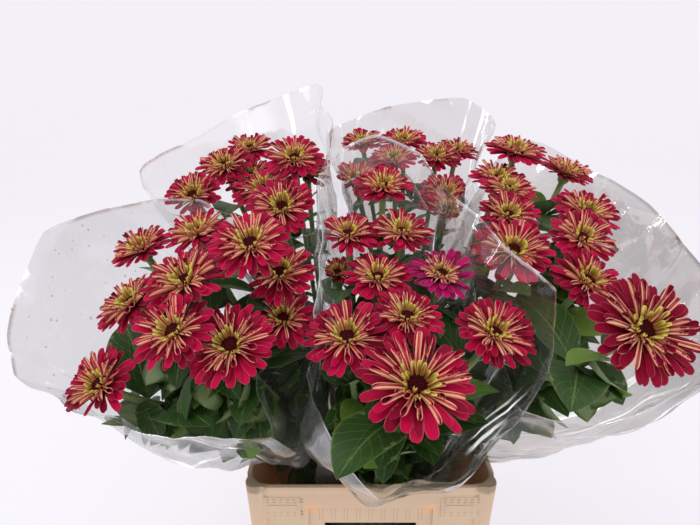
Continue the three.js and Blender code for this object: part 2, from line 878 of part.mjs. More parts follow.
// Leaves spread into the light that the heads and the other leaves let through from the front and above
function spaceRound(point, standing) {
  const seen = point.clone().projectOnPlane(LIGHT_FROM);
  return Math.min(...standing.map((other) => other.distanceTo(seen)));
}

function bestLeaf(paths, occupied, standing, random) {
  let best = null;
  for (let go = 0; go < LEAF_TRIES; go += 1) {
    const path = paths[Math.floor(random() * paths.length)];
    const { root, out, length, turn, lean } = leafPlace(path, go, random);
    const middle = root.clone().addScaledVector(out, length / 2);
    const space = spaceRound(middle, standing) + (length / LEAF_LENGTH[1]) * LEAF_SIZE_WORTH;
    if (lean > LEAF_LEAN || (best && space <= best.space)) continue;
    const grown = trianglesOf(leafBlade(root, out, length * LEAF_CLEAR, turn));
    if (!occupied.meets(grown, path)) best = { blade: leafBlade(root, out, length, turn), path, middle, space };
  }
  return best;
}

// Each leaf takes the drawn place that has most space round it and is clear of every other piece
function leavesOf(bunch, paths, occupied, random) {
  const leaves = [];
  const standing = bunch.blooms.map((bloom) => vector(bloom.at).projectOnPlane(LIGHT_FROM));
  for (let count = 0; count < bunch.leaves; count += 1) {
    const leaf = bestLeaf(paths, occupied, standing, random);
    if (!leaf) break;
    occupied.add(trianglesOf(leaf.blade), leaf.path);
    standing.push(leaf.middle.projectOnPlane(LIGHT_FROM));
    leaves.push(leaf.blade);
  }
  return leaves;
}

function stemCore(bunch) {
  const radius = stemRing(bunch) - STEM_RADIUS + CORE_BITE;
  const core = new THREE.CylinderGeometry(radius, radius, 2 * CORE_HALF_HEIGHT, CORE_SIDES);
  return core.rotateX(Math.PI / 2).translate(...bunch.foot, WAIST_HEIGHT);
}

function rubberBand(bunch) {
  const inside = stemRing(bunch) + STEM_RADIUS + BAND_SLACK;
  const half = BAND_HEIGHT / 2;
  const profile = [
    [inside, -half],
    [inside + BAND_THICKNESS, -half],
    [inside + BAND_THICKNESS, half],
    [inside, half],
    [inside, -half],
  ].map(([x, y]) => new THREE.Vector2(x, y));
  const ring = new THREE.LatheGeometry(profile, BAND_SIDES).rotateX(Math.PI / 2);
  return ring.translate(...bunch.foot, WAIST_HEIGHT);
}

// Bloom: rings of a core seen along its facing, and petals drawn out of the bands between the rings
function bloomFrame(bunch, bloom, phase) {
  const out = facing(bunch, bloom);
  const side = new THREE.Vector3(0, 1, 0).cross(out).normalize();
  const other = out.clone().cross(side);
  const middle = vector(bloom.at);
  const radial = (angle) =>
    side
      .clone()
      .multiplyScalar(Math.cos(angle + phase))
      .addScaledVector(other, Math.sin(angle + phase));
  return { out, middle, radial };
}

function bloomRing(frame, count, radius, height) {
  return Array.from({ length: count }, (_, k) =>
    frame.middle
      .clone()
      .addScaledVector(frame.radial(((k - 0.5) / count) * 2 * Math.PI), radius)
      .addScaledVector(frame.out, height),
  );
}

// The free end of a petal: two shoulders and a tip, inside the wedge that belongs to its root
function petalEnd(petal, rise, length, half) {
  const side = petal.out.clone().cross(petal.radial);
  const along = petal.radial.clone().multiplyScalar(Math.cos(rise)).addScaledVector(petal.out, Math.sin(rise));
  const shoulder = petal.root.clone().addScaledVector(along, length * SHOULDER_SHARE);
  const tip = petal.root.clone().addScaledVector(along, length);
  return [
    shoulder.clone().addScaledVector(side, -half),
    tip.addScaledVector(petal.out, -TIP_DROOP * length),
    shoulder.clone().addScaledVector(side, half),
  ];
}

function petalFaces(low, nextLow, nextHigh, high, left, tip, right) {
  return [
    [high, left, tip],
    [high, tip, nextHigh],
    [nextHigh, tip, right],
    [low, tip, left],
    [low, nextLow, tip],
    [nextLow, right, tip],
    [low, left, high],
    [nextLow, nextHigh, right],
  ];
}

// A petal is lifted, and then shortened, until it is clear of what already stands there
function clearEnd(petal, lowest, isTaken) {
  let end;
  for (const share of SHORTER) {
    for (const lift of LIFTS) {
      const raised = Math.min(Math.max(petal.rise + lift, lowest), STEEPEST);
      const rise = THREE.MathUtils.degToRad(raised);
      const length = petal.length * share;
      const half = (petal.core + length * SHOULDER_SHARE * Math.cos(rise)) * petal.wedge;
      end = petalEnd(petal, rise, length, half);
      const grown = petalEnd(petal, rise, length + PETAL_CLEAR, half + PETAL_CLEAR / 2);
      const all = [...petal.corners, ...grown];
      const triangles = petalFaces(0, 1, 2, 3, 4, 5, 6).map((face) => face.map((i) => all[i]));
      if (!isTaken(triangles)) return { end, raised };
    }
  }
  return { end, raised: petal.rise };
}

function drawnPetal(bloom, frame, layer, corners, angle, random) {
  const core = bloom.across * CORE_SHARE;
  const { rise, varies, length, fill } = LAYERS[layer];
  return {
    core,
    corners,
    out: frame.out,
    radial: frame.radial(angle),
    root: corners.reduce((sum, corner) => sum.add(corner), new THREE.Vector3()).divideScalar(corners.length),
    rise: rise + varies * random(),
    length: (bloom.across / 2 - core) * (SHORTEST_SHARE + (1 - SHORTEST_SHARE) * random()) * length,
    wedge: Math.tan(Math.PI / bloom.petals) * fill,
  };
}

// The small upright petals round the disc of a bloom that is seen from near
function quillTip(bloom, frame, angle, height) {
  return frame.middle
    .clone()
    .addScaledVector(frame.radial(angle), bloom.across * CORE_SHARE * QUILL_SPREAD)
    .addScaledVector(frame.out, height + bloom.across * QUILL_RISE);
}

function bloomGeometry(bunch, bloom, isTaken, random) {
  const count = bloom.petals;
  const core = bloom.across * CORE_SHARE;
  const frame = bloomFrame(bunch, bloom, random() * Math.PI);
  const heights = [0, 1, 2].map((layer) => layer * LAYER_ROOT - UNDERSIDE_DEPTH);
  const crown = heights[2] + QUILL_ROOT;
  const points = heights.flatMap((height) => bloomRing(frame, count, core, height));
  points.push(...bloomRing(frame, count, core * CORE_TOP_SHARE, crown));
  const top = points.push(frame.middle.clone().addScaledVector(frame.out, crown + DISC_RISE)) - 1;
  const faces = Array.from({ length: count - 2 }, (_, k) => [0, k + 2, k + 1]);
  for (let k = 0; k < count; k += 1) {
    const next = (k + 1) % count;
    const angle = (k / count) * 2 * Math.PI;
    const quadOf = (layer) => [k, next, count + next, count + k].map((i) => layer * count + i);
    const petals = LAYERS.map((_, layer) => {
      const corners = quadOf(layer).map((i) => points[i]);
      return drawnPetal(bloom, frame, layer, corners, angle, random);
    });
    let lowest = 0;
    petals.forEach((petal, layer) => {
      const { end, raised } = clearEnd(petal, lowest, isTaken);
      const first = points.push(...end) - end.length;
      faces.push(...petalFaces(...quadOf(layer), first, first + 1, first + 2));
      lowest = raised + LAYER_APART;
    });
    const quad = quadOf(LAYERS.length);
    faces.push([quad[3], quad[2], top]);
    if (count < QUILLS_FROM) {
      faces.push([quad[0], quad[1], quad[2]], [quad[0], quad[2], quad[3]]);
    } else {
      const tip = points.push(quillTip(bloom, frame, angle, crown)) - 1;
      faces.push(...quad.map((corner, i) => [corner, quad[(i + 1) % quad.length], tip]));
    }
  }
  return meshOf(points, faces);
}

// Materials
function finish(colour, roughness) {
  return new THREE.MeshStandardMaterial({ color: colour, roughness, metalness: 0, flatShading: true });
}

const cratePlastic = finish(0xecd0ba, 0.45);
const waterSurface = finish(0xc9d6d2, 0.08);
const stemGreen = finish(0x4f7a33, 0.6);
const bandRubber = finish(0xb98a4a, 0.7);
const filmClear = finish(0xe9e9ee, 0.06);
const petalCrimson = finish(0xb0173f, 0.6);
filmClear.transparent = true;
filmClear.opacity = 0.25;

// Assembly
const root = new THREE.Group();

function place(name, geometry, material) {
  const mesh = new THREE.Mesh(geometry, material);
  mesh.name = name;
  root.add(mesh);
}

const bunches = Object.values(BUNCHES);
const occupied = new Occupied(24);

place("crate", geometryOf(crate()), cratePlastic);
place("water", geometryOf(water(bunches)), waterSurface);

Object.entries(BUNCHES).forEach(([name, bunch]) => {
  const rows = filmRows(bunch, bunches.filter((other) => other !== bunch));
  const shell = filmShell(rows);
  occupied.add(trianglesOf(shell), `film ${name}`);
  place(`sleeve_${name}`, shell, filmClear);
  place(`band_${name}`, geometryOf(solidOf(rubberBand(bunch))), bandRubber);
  const angles = ringAngles(bunch);
  bunch.paths = bunch.blooms.map((bloom, i) => stemPath(bunch, bloom, angles[i]));
  bunch.stems = bunch.paths.map(stem);
  bunch.stems.forEach((tube, i) => occupied.add(trianglesOf(tube), bunch.paths[i]));
});

Object.entries(BUNCHES).forEach(([name, bunch], b) => {
  const pairs = bunch.pairs ?? [];
  bunch.blooms.forEach((bloom, i) => {
    const pair = pairs.find((numbers) => numbers.includes(i + 1));
    const owner = pair ?? bloom;
    const random = seeded(100 * (b + 1) + i);
    bloom.geometry = bloomGeometry(bunch, bloom, (triangles) => occupied.meets(triangles, owner), random);
    occupied.add(trianglesOf(bloom.geometry), owner);
    if (!pair) place(`bloom_${name}${i + 1}`, bloom.geometry, petalCrimson);
  });
  pairs.forEach((numbers) => {
    const heads = numbers.map((number) => solidOf(bunch.blooms[number - 1].geometry));
    place(`bloom_${name}${numbers.join("_")}`, geometryOf(joined(heads)), petalCrimson);
  });
});

Object.entries(BUNCHES).forEach(([name, bunch], b) => {
  const leaves = leavesOf(bunch, bunch.paths, occupied, seeded(LEAF_SEED + b));
  const pieces = [stemCore(bunch), ...bunch.stems, ...leaves].map(solidOf);
  place(`foliage_${name}`, geometryOf(wholeBody(joined(pieces))), stemGreen);
});

export default root;
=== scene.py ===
# %% [markdown]
# # Cut zinnias in a flower crate
#
# Five bunches of zinnias stand in the water of a plastic crate, each bunch in its own sleeve of clear film.
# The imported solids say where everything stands. This file dresses them: it reads each solid, and builds the
# real petals, leaves, stems, film and plastic in the same place.

# %% The fixed frame
import math

import bmesh
import bpy
import numpy as np
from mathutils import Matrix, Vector
from mathutils.bvhtree import BVHTree


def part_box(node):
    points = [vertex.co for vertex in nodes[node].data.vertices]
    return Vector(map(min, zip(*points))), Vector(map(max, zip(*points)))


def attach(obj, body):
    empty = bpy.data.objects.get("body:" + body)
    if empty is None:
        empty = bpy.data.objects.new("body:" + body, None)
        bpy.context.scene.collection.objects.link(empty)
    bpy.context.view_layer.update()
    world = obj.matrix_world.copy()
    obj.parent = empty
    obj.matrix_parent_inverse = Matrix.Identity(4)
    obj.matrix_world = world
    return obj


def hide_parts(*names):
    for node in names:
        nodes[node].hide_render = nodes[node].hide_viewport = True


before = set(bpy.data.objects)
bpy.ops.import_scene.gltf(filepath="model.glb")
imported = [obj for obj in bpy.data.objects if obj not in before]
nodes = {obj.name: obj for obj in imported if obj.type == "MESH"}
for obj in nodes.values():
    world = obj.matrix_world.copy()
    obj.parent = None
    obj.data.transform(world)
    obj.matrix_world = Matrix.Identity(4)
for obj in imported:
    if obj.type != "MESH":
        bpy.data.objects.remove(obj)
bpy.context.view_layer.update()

scene = bpy.context.scene
MM = 0.001

# %% [markdown]
# ## Camera
#
# The picture looks down on the flowers from a little over their heads, from near by, so the view is wide.
# The tilt and the lens follow from how the crate's front rim and the flowers' sizes lie in the picture.

# %% Camera
camera_data = bpy.data.cameras.new("camera")
camera_data.sensor_width = 36
camera_data.lens = 27.05
camera = bpy.data.objects.new("camera", camera_data)
camera.location = (-0.025, -0.704, 0.741)
camera.rotation_euler = (math.radians(90 - 18), 0, 0)
scene.collection.objects.link(camera)
scene.camera = camera
scene.view_settings.view_transform = "Standard"
print("camera lens", camera_data.lens)

# %% [markdown]
# ## Sums in a material
#
# A material is a small network of nodes. Writing every sum as a node by hand is slow to read, so one class
# stands for a socket and lets Python's own signs add the Math nodes. Colours go through Mix nodes instead,
# because a Math node would turn them grey.

# %% Node sums
class Reading:
    """One output of a material's nodes: a number, a vector or a colour."""

    def __init__(self, finish, socket):
        self.finish = finish
        self.socket = socket

    def sum(self, operation, *others):
        return self.finish.node("ShaderNodeMath", {"operation": operation}, dict(enumerate((self, *others))))

    def __add__(self, other):
        return self.sum("ADD", other)

    __radd__ = __add__

    def __mul__(self, other):
        return self.sum("MULTIPLY", other)

    __rmul__ = __mul__

    def __sub__(self, other):
        return self.sum("SUBTRACT", other)

    def __rsub__(self, other):
        return self.finish.node("ShaderNodeMath", {"operation": "SUBTRACT"}, {0: other, 1: self})

    def __pow__(self, other):
        return self.sum("POWER", other)

    def sine(self):
        return self.sum("SINE")

    def size(self):
        return self.sum("ABSOLUTE")

    def part(self):
        return self.sum("FRACT")

    def ramp(self, low, high):
        """0 below low, 1 above high, and smooth in between."""
        settings = {"interpolation_type": "SMOOTHSTEP"}
        return self.finish.node("ShaderNodeMapRange", settings, {0: self, 1: low, 2: high, 3: 0.0, 4: 1.0})

    def band(self, start, full, fading, end):
        """1 from full to fading, and 0 below start and above end."""
        return self.ramp(start, full) * (1 - self.ramp(fading, end))


class Finish:
    """A material in the making."""

    def __init__(self, name):
        self.material = bpy.data.materials.new(name)
        self.material.use_nodes = True
        self.tree = self.material.node_tree
        self.tree.nodes.clear()
        self.output = self.tree.nodes.new("ShaderNodeOutputMaterial")

    def feed(self, socket, value):
        if isinstance(value, Reading):
            self.tree.links.new(value.socket, socket)
        elif socket.type == "RGBA" and len(value) == 3:
            socket.default_value = (*value, 1)
        else:
            socket.default_value = value

    def node(self, kind, settings, inputs, output=0):
        made = self.tree.nodes.new(kind)
        for name, value in settings.items():
            setattr(made, name, value)
        for key, value in inputs.items():
            self.feed(made.inputs[key], value)
        return Reading(self, made.outputs[output])

    def place(self):
        return self.node("ShaderNodeTexCoord", {}, {}, "Object")

    def axes(self, vector):
        return [self.node("ShaderNodeSeparateXYZ", {}, {0: vector}, k) for k in range(3)]

    def mark(self, name):
        """The three numbers that a mesh keeps at each point under that name."""
        return self.axes(self.node("ShaderNodeAttribute", {"attribute_name": name}, {}, "Vector"))

    def noise(self, vector, scale, detail=3.0):
        return self.node("ShaderNodeTexNoise", {}, {"Vector": vector, "Scale": scale, "Detail": detail}, 0)

    def stretch(self, vector, factors):
        return self.node("ShaderNodeVectorMath", {"operation": "MULTIPLY"}, {0: vector, 1: factors})

    def mix(self, factor, first, second):
        made = self.tree.nodes.new("ShaderNodeMix")
        made.data_type = "RGBA"
        for index, value in ((0, factor), (6, first), (7, second)):
            self.feed(made.inputs[index], value)
        return Reading(self, made.outputs[2])

    def bump(self, height, strength, distance):
        return self.node("ShaderNodeBump", {}, {"Height": height, "Strength": strength, "Distance": distance})

    def principled(self, inputs):
        return self.node("ShaderNodeBsdfPrincipled", {}, inputs)

    def see_through(self, factor, tint, gloss):
        """Lets the light pass in that tint, and shows the gloss by the factor."""
        clear = self.node("ShaderNodeBsdfTransparent", {}, {"Color": tint})
        return self.node("ShaderNodeMixShader", {}, {0: factor, 1: clear, 2: gloss})

    def close(self, shader):
        self.tree.links.new(shader.socket, self.output.inputs["Surface"])
        return self.material


def shade(red, green, blue):
    """A colour as a screen shows it, 0 to 255, turned into the amounts of light that a material takes."""
    return tuple(((v / 255 + 0.055) / 1.055) ** 2.4 if v > 10 else v / 3294.6 for v in (red, green, blue))


print("node sums ready")

# %% [markdown]
# ## Stage and light
#
# Flower film only shows by what it mirrors, so the studio is a pale bowl with soft light from all round,
# and a few narrow bright panels that the film can catch. The bowl has no corner, so no line shows behind
# the flowers from any side. It is a turned shape: rings of points with faces between them, which the discs,
# the calyces and the rubber bands are later too.

# %% Turned shapes
def wall_faces(rings, loop):
    """The faces between each ring of points and the next, where a ring has loop points."""
    ring, k = np.meshgrid(np.arange(rings - 1), np.arange(loop), indexing="ij")
    low, high, n = ring * loop, (ring + 1) * loop, (k + 1) % loop
    return np.stack([low + k, low + n, high + n, high + k], -1).reshape(-1, 4)


def end_faces(rings, loop):
    """The triangles that close the first ring and the last."""
    last = (rings - 1) * loop
    first_end = [(0, k + 1, k) for k in range(1, loop - 1)]
    return first_end + [(last, last + k, last + k + 1) for k in range(1, loop - 1)]


def lathe(profile, sides):
    """Points and faces of a turned shape; profile holds its (radius, height) pairs from end to end."""
    turns = np.arange(sides) / sides * 2 * np.pi
    rings = [np.stack([r * np.cos(turns), r * np.sin(turns), np.full(sides, z)], 1) for r, z in profile]
    return np.concatenate(rings), wall_faces(len(profile), sides)


print("a can of 12 sides has", len(wall_faces(2, 12)), "walls and", len(end_faces(2, 12)), "end triangles")

# %% Stage
BOWL_FLAT, BOWL_BEND, BOWL_TOP, BOWL_SIDES = 3.0, 1.2, 4.0, 72


def stage_bowl():
    bend = np.linspace(0, math.pi / 2, 16)
    arc = [(BOWL_FLAT + BOWL_BEND * math.sin(t), BOWL_BEND - BOWL_BEND * math.cos(t)) for t in bend]
    flat = [(1 * MM, 0), (1.0, 0), (2.0, 0)]
    points, quads = lathe([*flat, *arc, (BOWL_FLAT + BOWL_BEND, BOWL_TOP)], BOWL_SIDES)
    mesh = bpy.data.meshes.new("floor")
    mesh.from_pydata(points.tolist(), [], quads[:, ::-1].tolist())
    mesh.shade_smooth()
    floor = bpy.data.objects.new("floor", mesh)
    scene.collection.objects.link(floor)
    finish = Finish("pale floor")
    cloud = finish.noise(finish.place(), 0.8)
    colour = finish.mix(cloud, shade(150, 149, 152), shade(154, 153, 156))
    mesh.materials.append(finish.close(finish.principled({
        "Base Color": colour, "Roughness": 0.85, "Emission Color": shade(246, 243, 250),
        "Emission Strength": 0.67,
    })))
    return floor


stage_bowl()
print("floor", len(bpy.data.meshes["floor"].polygons), "faces")

# %% Lights
def panel(name, place, target, width, height, power):
    data = bpy.data.lights.new(name, "AREA")
    data.shape = "RECTANGLE"
    data.size, data.size_y, data.energy = width, height, power
    light = bpy.data.objects.new(name, data)
    light.location = place
    way = Vector(target) - Vector(place)
    light.rotation_euler = way.to_track_quat("-Z", "Y").to_euler()
    scene.collection.objects.link(light)


world = bpy.data.worlds.new("studio")
world.use_nodes = True
world.node_tree.nodes["Background"].inputs["Color"].default_value = (0.985, 0.975, 0.99, 1)
world.node_tree.nodes["Background"].inputs["Strength"].default_value = 0.56
scene.world = world
HEADS = (0, -0.05, 0.55)
panel("key", (-0.8, -1.3, 2.7), HEADS, 1.0, 0.8, 17)
panel("fill", (1.9, -1.2, 1.7), HEADS, 1.0, 1.0, 4)
panel("back strip", (0.6, 1.9, 2.2), HEADS, 1.6, 0.12, 5)
panel("left strip", (-2.0, 0.5, 1.5), HEADS, 0.1, 1.5, 5)
panel("top strip", (0.3, -0.3, 2.6), HEADS, 0.12, 1.4, 5)
scene.cycles.transparent_max_bounces = 40

# %% [markdown]
# ## Making meshes quickly
#
# A flower head has dozens of petals and each petal has hundreds of points. They are worked out together as
# arrays of numbers, and collected in a Skin, which also keeps for each point what its material reads: where
# on the petal it lies, and which kind of petal it belongs to.

# %% Skins
class Skin:
    """Collects the grids of one piece."""

    def __init__(self):
        self.points, self.quads, self.corners, self.parts = [], [], [], []
        self.marks = {"place": [], "kind": []}
        self.count = 0

    def add(self, points, quads=(), corners=(), place=(0, 0, 0), kind=(0, 0, 0), part=0):
        """corners holds the triangles; part is the number of the material."""
        points = np.asarray(points, float).reshape(-1, 3)
        quads = np.asarray(quads, int).reshape(-1, 4)
        corners = np.asarray(corners, int).reshape(-1, 3)
        self.points.append(points)
        self.quads.append(quads + self.count)
        self.corners.append(corners + self.count)
        self.parts.append((np.full(len(quads), part), np.full(len(corners), part)))
        for name, value in (("place", place), ("kind", kind)):
            self.marks[name].append(np.broadcast_to(np.asarray(value, float), points.shape))
        self.count += len(points)

    def build(self, name, materials, sharp=50):
        points = np.concatenate(self.points)
        quads, corners = np.concatenate(self.quads), np.concatenate(self.corners)
        mesh = bpy.data.meshes.new(name)
        mesh.vertices.add(len(points))
        mesh.vertices.foreach_set("co", points.astype(np.float32).ravel())
        loops = np.concatenate([quads.ravel(), corners.ravel()])
        mesh.loops.add(len(loops))
        mesh.loops.foreach_set("vertex_index", loops.astype(np.int32))
        mesh.polygons.add(len(quads) + len(corners))
        starts = [np.arange(len(quads)) * 4, 4 * len(quads) + np.arange(len(corners)) * 3]
        mesh.polygons.foreach_set("loop_start", np.concatenate(starts).astype(np.int32))
        parts = [np.concatenate([pair[k] for pair in self.parts]) for k in range(2)]
        mesh.update(calc_edges=True)
        mesh.polygons.foreach_set("material_index", np.concatenate(parts).astype(np.int32))
        for mark, values in self.marks.items():
            attribute = mesh.attributes.new(mark, "FLOAT_VECTOR", "POINT")
            attribute.data.foreach_set("vector", np.concatenate(values).astype(np.float32).ravel())
        mesh.shade_smooth()
        mesh.set_sharp_from_angle(angle=math.radians(sharp))
        for material in materials:
            mesh.materials.append(material)
        if mesh.validate():
            print("mended", name)
        piece = bpy.data.objects.new(name, mesh)
        scene.collection.objects.link(piece)
        return piece


made = {}


def finished(piece, slot, *replaced):
    """Every piece rides on the one body, and the solids that it stands for are hidden."""
    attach(piece, "root")
    if replaced:
        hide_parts(*replaced)
    made[piece.name] = sum(len(face.vertices) - 2 for face in piece.data.polygons)


def triangles_in(start):
    """How many triangles the finished pieces have whose names start that way."""
    return sum(count for name, count in made.items() if name.startswith(start))


def unit(v):
    return v / np.linalg.norm(v, axis=-1, keepdims=True)


def loose_mesh(mesh):
    """A mesh's points and its triangles as arrays."""
    points = np.empty(3 * len(mesh.vertices), np.float32)
    mesh.vertices.foreach_get("co", points)
    mesh.calc_loop_triangles()
    corners = np.empty(3 * len(mesh.loop_triangles), np.int32)
    mesh.loop_triangles.foreach_get("vertices", corners)
    return points.reshape(-1, 3).astype(float), corners.reshape(-1, 3)


def solid_mesh(name):
    """A solid's points without doubles, in metres, and its triangles."""
    points, corners = loose_mesh(nodes[name].data)
    merged, where = np.unique(np.round(points.astype(np.float32), 6), axis=0, return_inverse=True)
    return merged.astype(float), where.reshape(-1)[corners]


def neighbours(points, corners):
    """For each point the set of the points that share an edge with it."""
    links = [set() for _ in points]
    for a, b, c in corners.tolist():
        links[a] |= {b, c}
        links[b] |= {a, c}
        links[c] |= {a, b}
    return links


print("the crate's solid has", len(solid_mesh("crate")[0]), "points")

# %% [markdown]
# ## Ribbons: petals, quills, leaves and scales
#
# A petal is a ribbon that runs along a line and is curled across. The same maker gives a flat ray petal, a
# quill that is rolled up until its pale underside shows, a leaf and a calyx scale: only the widths and the
# curl change. Each ribbon is closed, with an upper and a lower face, so that the two may differ in colour.

# %% Ribbon maker
LEAST_ROLL, NOTCH_WIDTH = 0.02, 0.4


def ribbons(skin, centre, up, half, roll, thick, across, kind, part=0, notch=0.0, fold=0.0, wave=None):
    """centre is (count, stations, 3), up the side that the upper face looks to, half the half width, and roll
    the angle of the curl across. across is how many points a face has. kind is one row for each ribbon."""
    count, stations, _ = centre.shape
    along = unit(np.gradient(centre, axis=1))
    side = unit(np.cross(along, up))
    normal = np.cross(side, along)
    top = np.linspace(-1, 1, across)
    s = np.concatenate([top, top[-2:0:-1]])
    under = np.concatenate([np.zeros(across), np.ones(across - 2)])
    loop = len(s)
    roll = np.maximum(np.abs(roll), LEAST_ROLL)[..., None]
    a = s * roll / 2
    radius = half[..., None] * 2 / roll
    x = (radius + thick * under) * np.sin(a)
    y = radius - (radius + thick * under) * np.cos(a) + fold * np.abs(x)
    if wave is not None:
        y = y + wave[..., None] * np.abs(s) ** 2
    share = np.linspace(0, 1, stations)[None, :, None]
    back = notch * np.exp(-((s / NOTCH_WIDTH) ** 2)) * share**6
    points = (
        centre[:, :, None]
        + x[..., None] * side[:, :, None]
        + y[..., None] * normal[:, :, None]
        - back[..., None] * along[:, :, None]
    )
    low = [0, *range(loop - 1, across - 1, -1), across - 1]
    last = (stations - 1) * loop
    caps = [(k, low[k], low[k + 1], k + 1) for k in range(1, across - 2)]
    caps += [(last + k + 1, last + low[k + 1], last + low[k], last + k) for k in range(1, across - 2)]
    ends = [(0, low[1], 1), (across - 2, low[across - 2], across - 1)]
    ends += [(last + c, last + b, last + a) for a, b, c in ends]
    steps = np.arange(count)[:, None, None] * stations * loop
    place = np.empty(points.shape)
    place[..., 0] = s
    place[..., 1] = share
    place[..., 2] = under
    skin.add(
        points,
        np.concatenate([wall_faces(stations, loop), caps])[None] + steps,
        np.asarray(ends)[None] + steps,
        place.reshape(-1, 3),
        np.broadcast_to(np.asarray(kind, float)[:, None, None], points.shape).reshape(-1, 3),
        part,
    )


def turned(skin, origin, side, other, out, profile, sides, kind=(0, 0, 0), part=0):
    """A closed turned shape round the line through origin along out; profile holds (radius, height) pairs."""
    flat, quads = lathe(profile, sides)
    points = origin + flat[:, :1] * side + flat[:, 1:2] * other + flat[:, 2:] * out
    heights = np.repeat(np.linspace(0, 1, len(profile)), sides)
    place = np.stack([flat[:, 0] * 0, heights, heights * 0], 1)
    skin.add(points, quads, end_faces(len(profile), sides), place, kind, part)


print("ribbon maker ready")

# %% [markdown]
# ## Where each flower head sits
#
# Every head's solid has one flat face, its underside, which is a ring with as many corners as the head has
# petals in a layer. That face gives the middle, the way the head looks, its size and how it is turned. The
# petals' tips in the solid then tell how far each part of the head is lifted where a neighbour presses on
# it.

# %% Reading the heads
CORE_SHARE, UNDERSIDE_DEPTH, PETAL_ROOT_DEPTH = 0.105, 7 * MM, 5.4 * MM
LEAST_AREA, SAME_WAY, SAME_LEVEL, LEAST_FACES, ROUND_ENOUGH = 1e-10, 1e-5, 2e-4, 5, 0.01
TIP_TURN, TIP_NEAREST, TIP_FARTHEST = 0.03, 1.2, 0.53
PLAIN_LIFTS, PLAIN_REACHES = np.array([0.2, 0.8]), np.array([0.38, 0.26])


def flat_rings(points, corners):
    """The corner points and the normal of each flat ring among a solid's faces."""
    edges = points[corners]
    normals = np.cross(edges[:, 1] - edges[:, 0], edges[:, 2] - edges[:, 0])
    sizes = np.linalg.norm(normals, axis=1)
    keep = sizes > LEAST_AREA
    normals, edges, corners = normals[keep] / sizes[keep, None], edges[keep], corners[keep]
    heights = (normals * edges[:, 0]).sum(1)
    left = np.ones(len(corners), bool)
    rings = []
    for i in range(len(corners)):
        if not left[i]:
            continue
        same = left & (normals @ normals[i] > 1 - SAME_WAY) & (np.abs(heights - heights[i]) < SAME_LEVEL)
        if same.sum() < LEAST_FACES:
            continue
        left &= ~same
        ring = points[np.unique(corners[same])]
        spread = np.linalg.norm(ring - ring.mean(0), axis=1)
        if spread.std() < ROUND_ENOUGH * spread.mean():
            rings.append((ring, normals[i]))
    return rings


def heads_in(name):
    """A head for each flower in the solid: middle, axes, width, petal count, and the lifts of its petals."""
    points, corners = solid_mesh(name)
    heads = []
    for ring, normal in flat_rings(points, corners):
        out = -normal
        side = unit(np.cross([0, 1, 0], out))
        other = np.cross(out, side)
        centre = ring.mean(0)
        core = np.linalg.norm(ring - centre, axis=1).mean()
        across = core / CORE_SHARE
        count = len(ring)
        first = math.atan2((ring[0] - centre) @ other, (ring[0] - centre) @ side) + math.pi / count
        middle = centre + UNDERSIDE_DEPTH * out
        local = points - middle
        u, w, h = local @ side, local @ other, local @ out
        away = np.hypot(u, w)
        angle = np.arctan2(w, u)
        lifts = np.full((count, 2), np.nan)
        reach = np.full((count, 2), np.nan)
        for k in range(count):
            turn = first + 2 * math.pi * k / count
            off = np.abs((angle - turn + math.pi) % (2 * math.pi) - math.pi)
            near = (off < TIP_TURN) & (away > TIP_NEAREST * core) & (away < across * TIP_FARTHEST)
            tips = [(r - core, z + PETAL_ROOT_DEPTH) for r, z in zip(away[near], h[near])]
            rows = sorted((math.atan2(z, r), math.hypot(r, z)) for r, z in tips)
            for layer, row in enumerate(rows[:2]):
                lifts[k, layer], reach[k, layer] = row
        heads.append({
            "middle": middle, "side": side, "other": other, "out": out, "core": core, "across": across,
            "count": count, "first": first, "lifts": np.where(np.isnan(lifts), PLAIN_LIFTS, lifts),
            "reach": np.where(np.isnan(reach), across * PLAIN_REACHES, reach),
        })
    return heads


bloom_names = sorted(n for n in nodes if n.startswith("bloom_"))
heads = {name: heads_in(name) for name in bloom_names}
print("heads", sum(len(h) for h in heads.values()), "in", len(heads), "solids")

# %% [markdown]
# ## The petals' colours
#
# These zinnias have crimson ray petals with a pale peach back. Most inner petals stay rolled up, so that
# their peach backs show as stripes, and the youngest round the disc are yellow-green. The material reads
# which face of the petal it is on, how far along it lies, and which layer the petal belongs to.

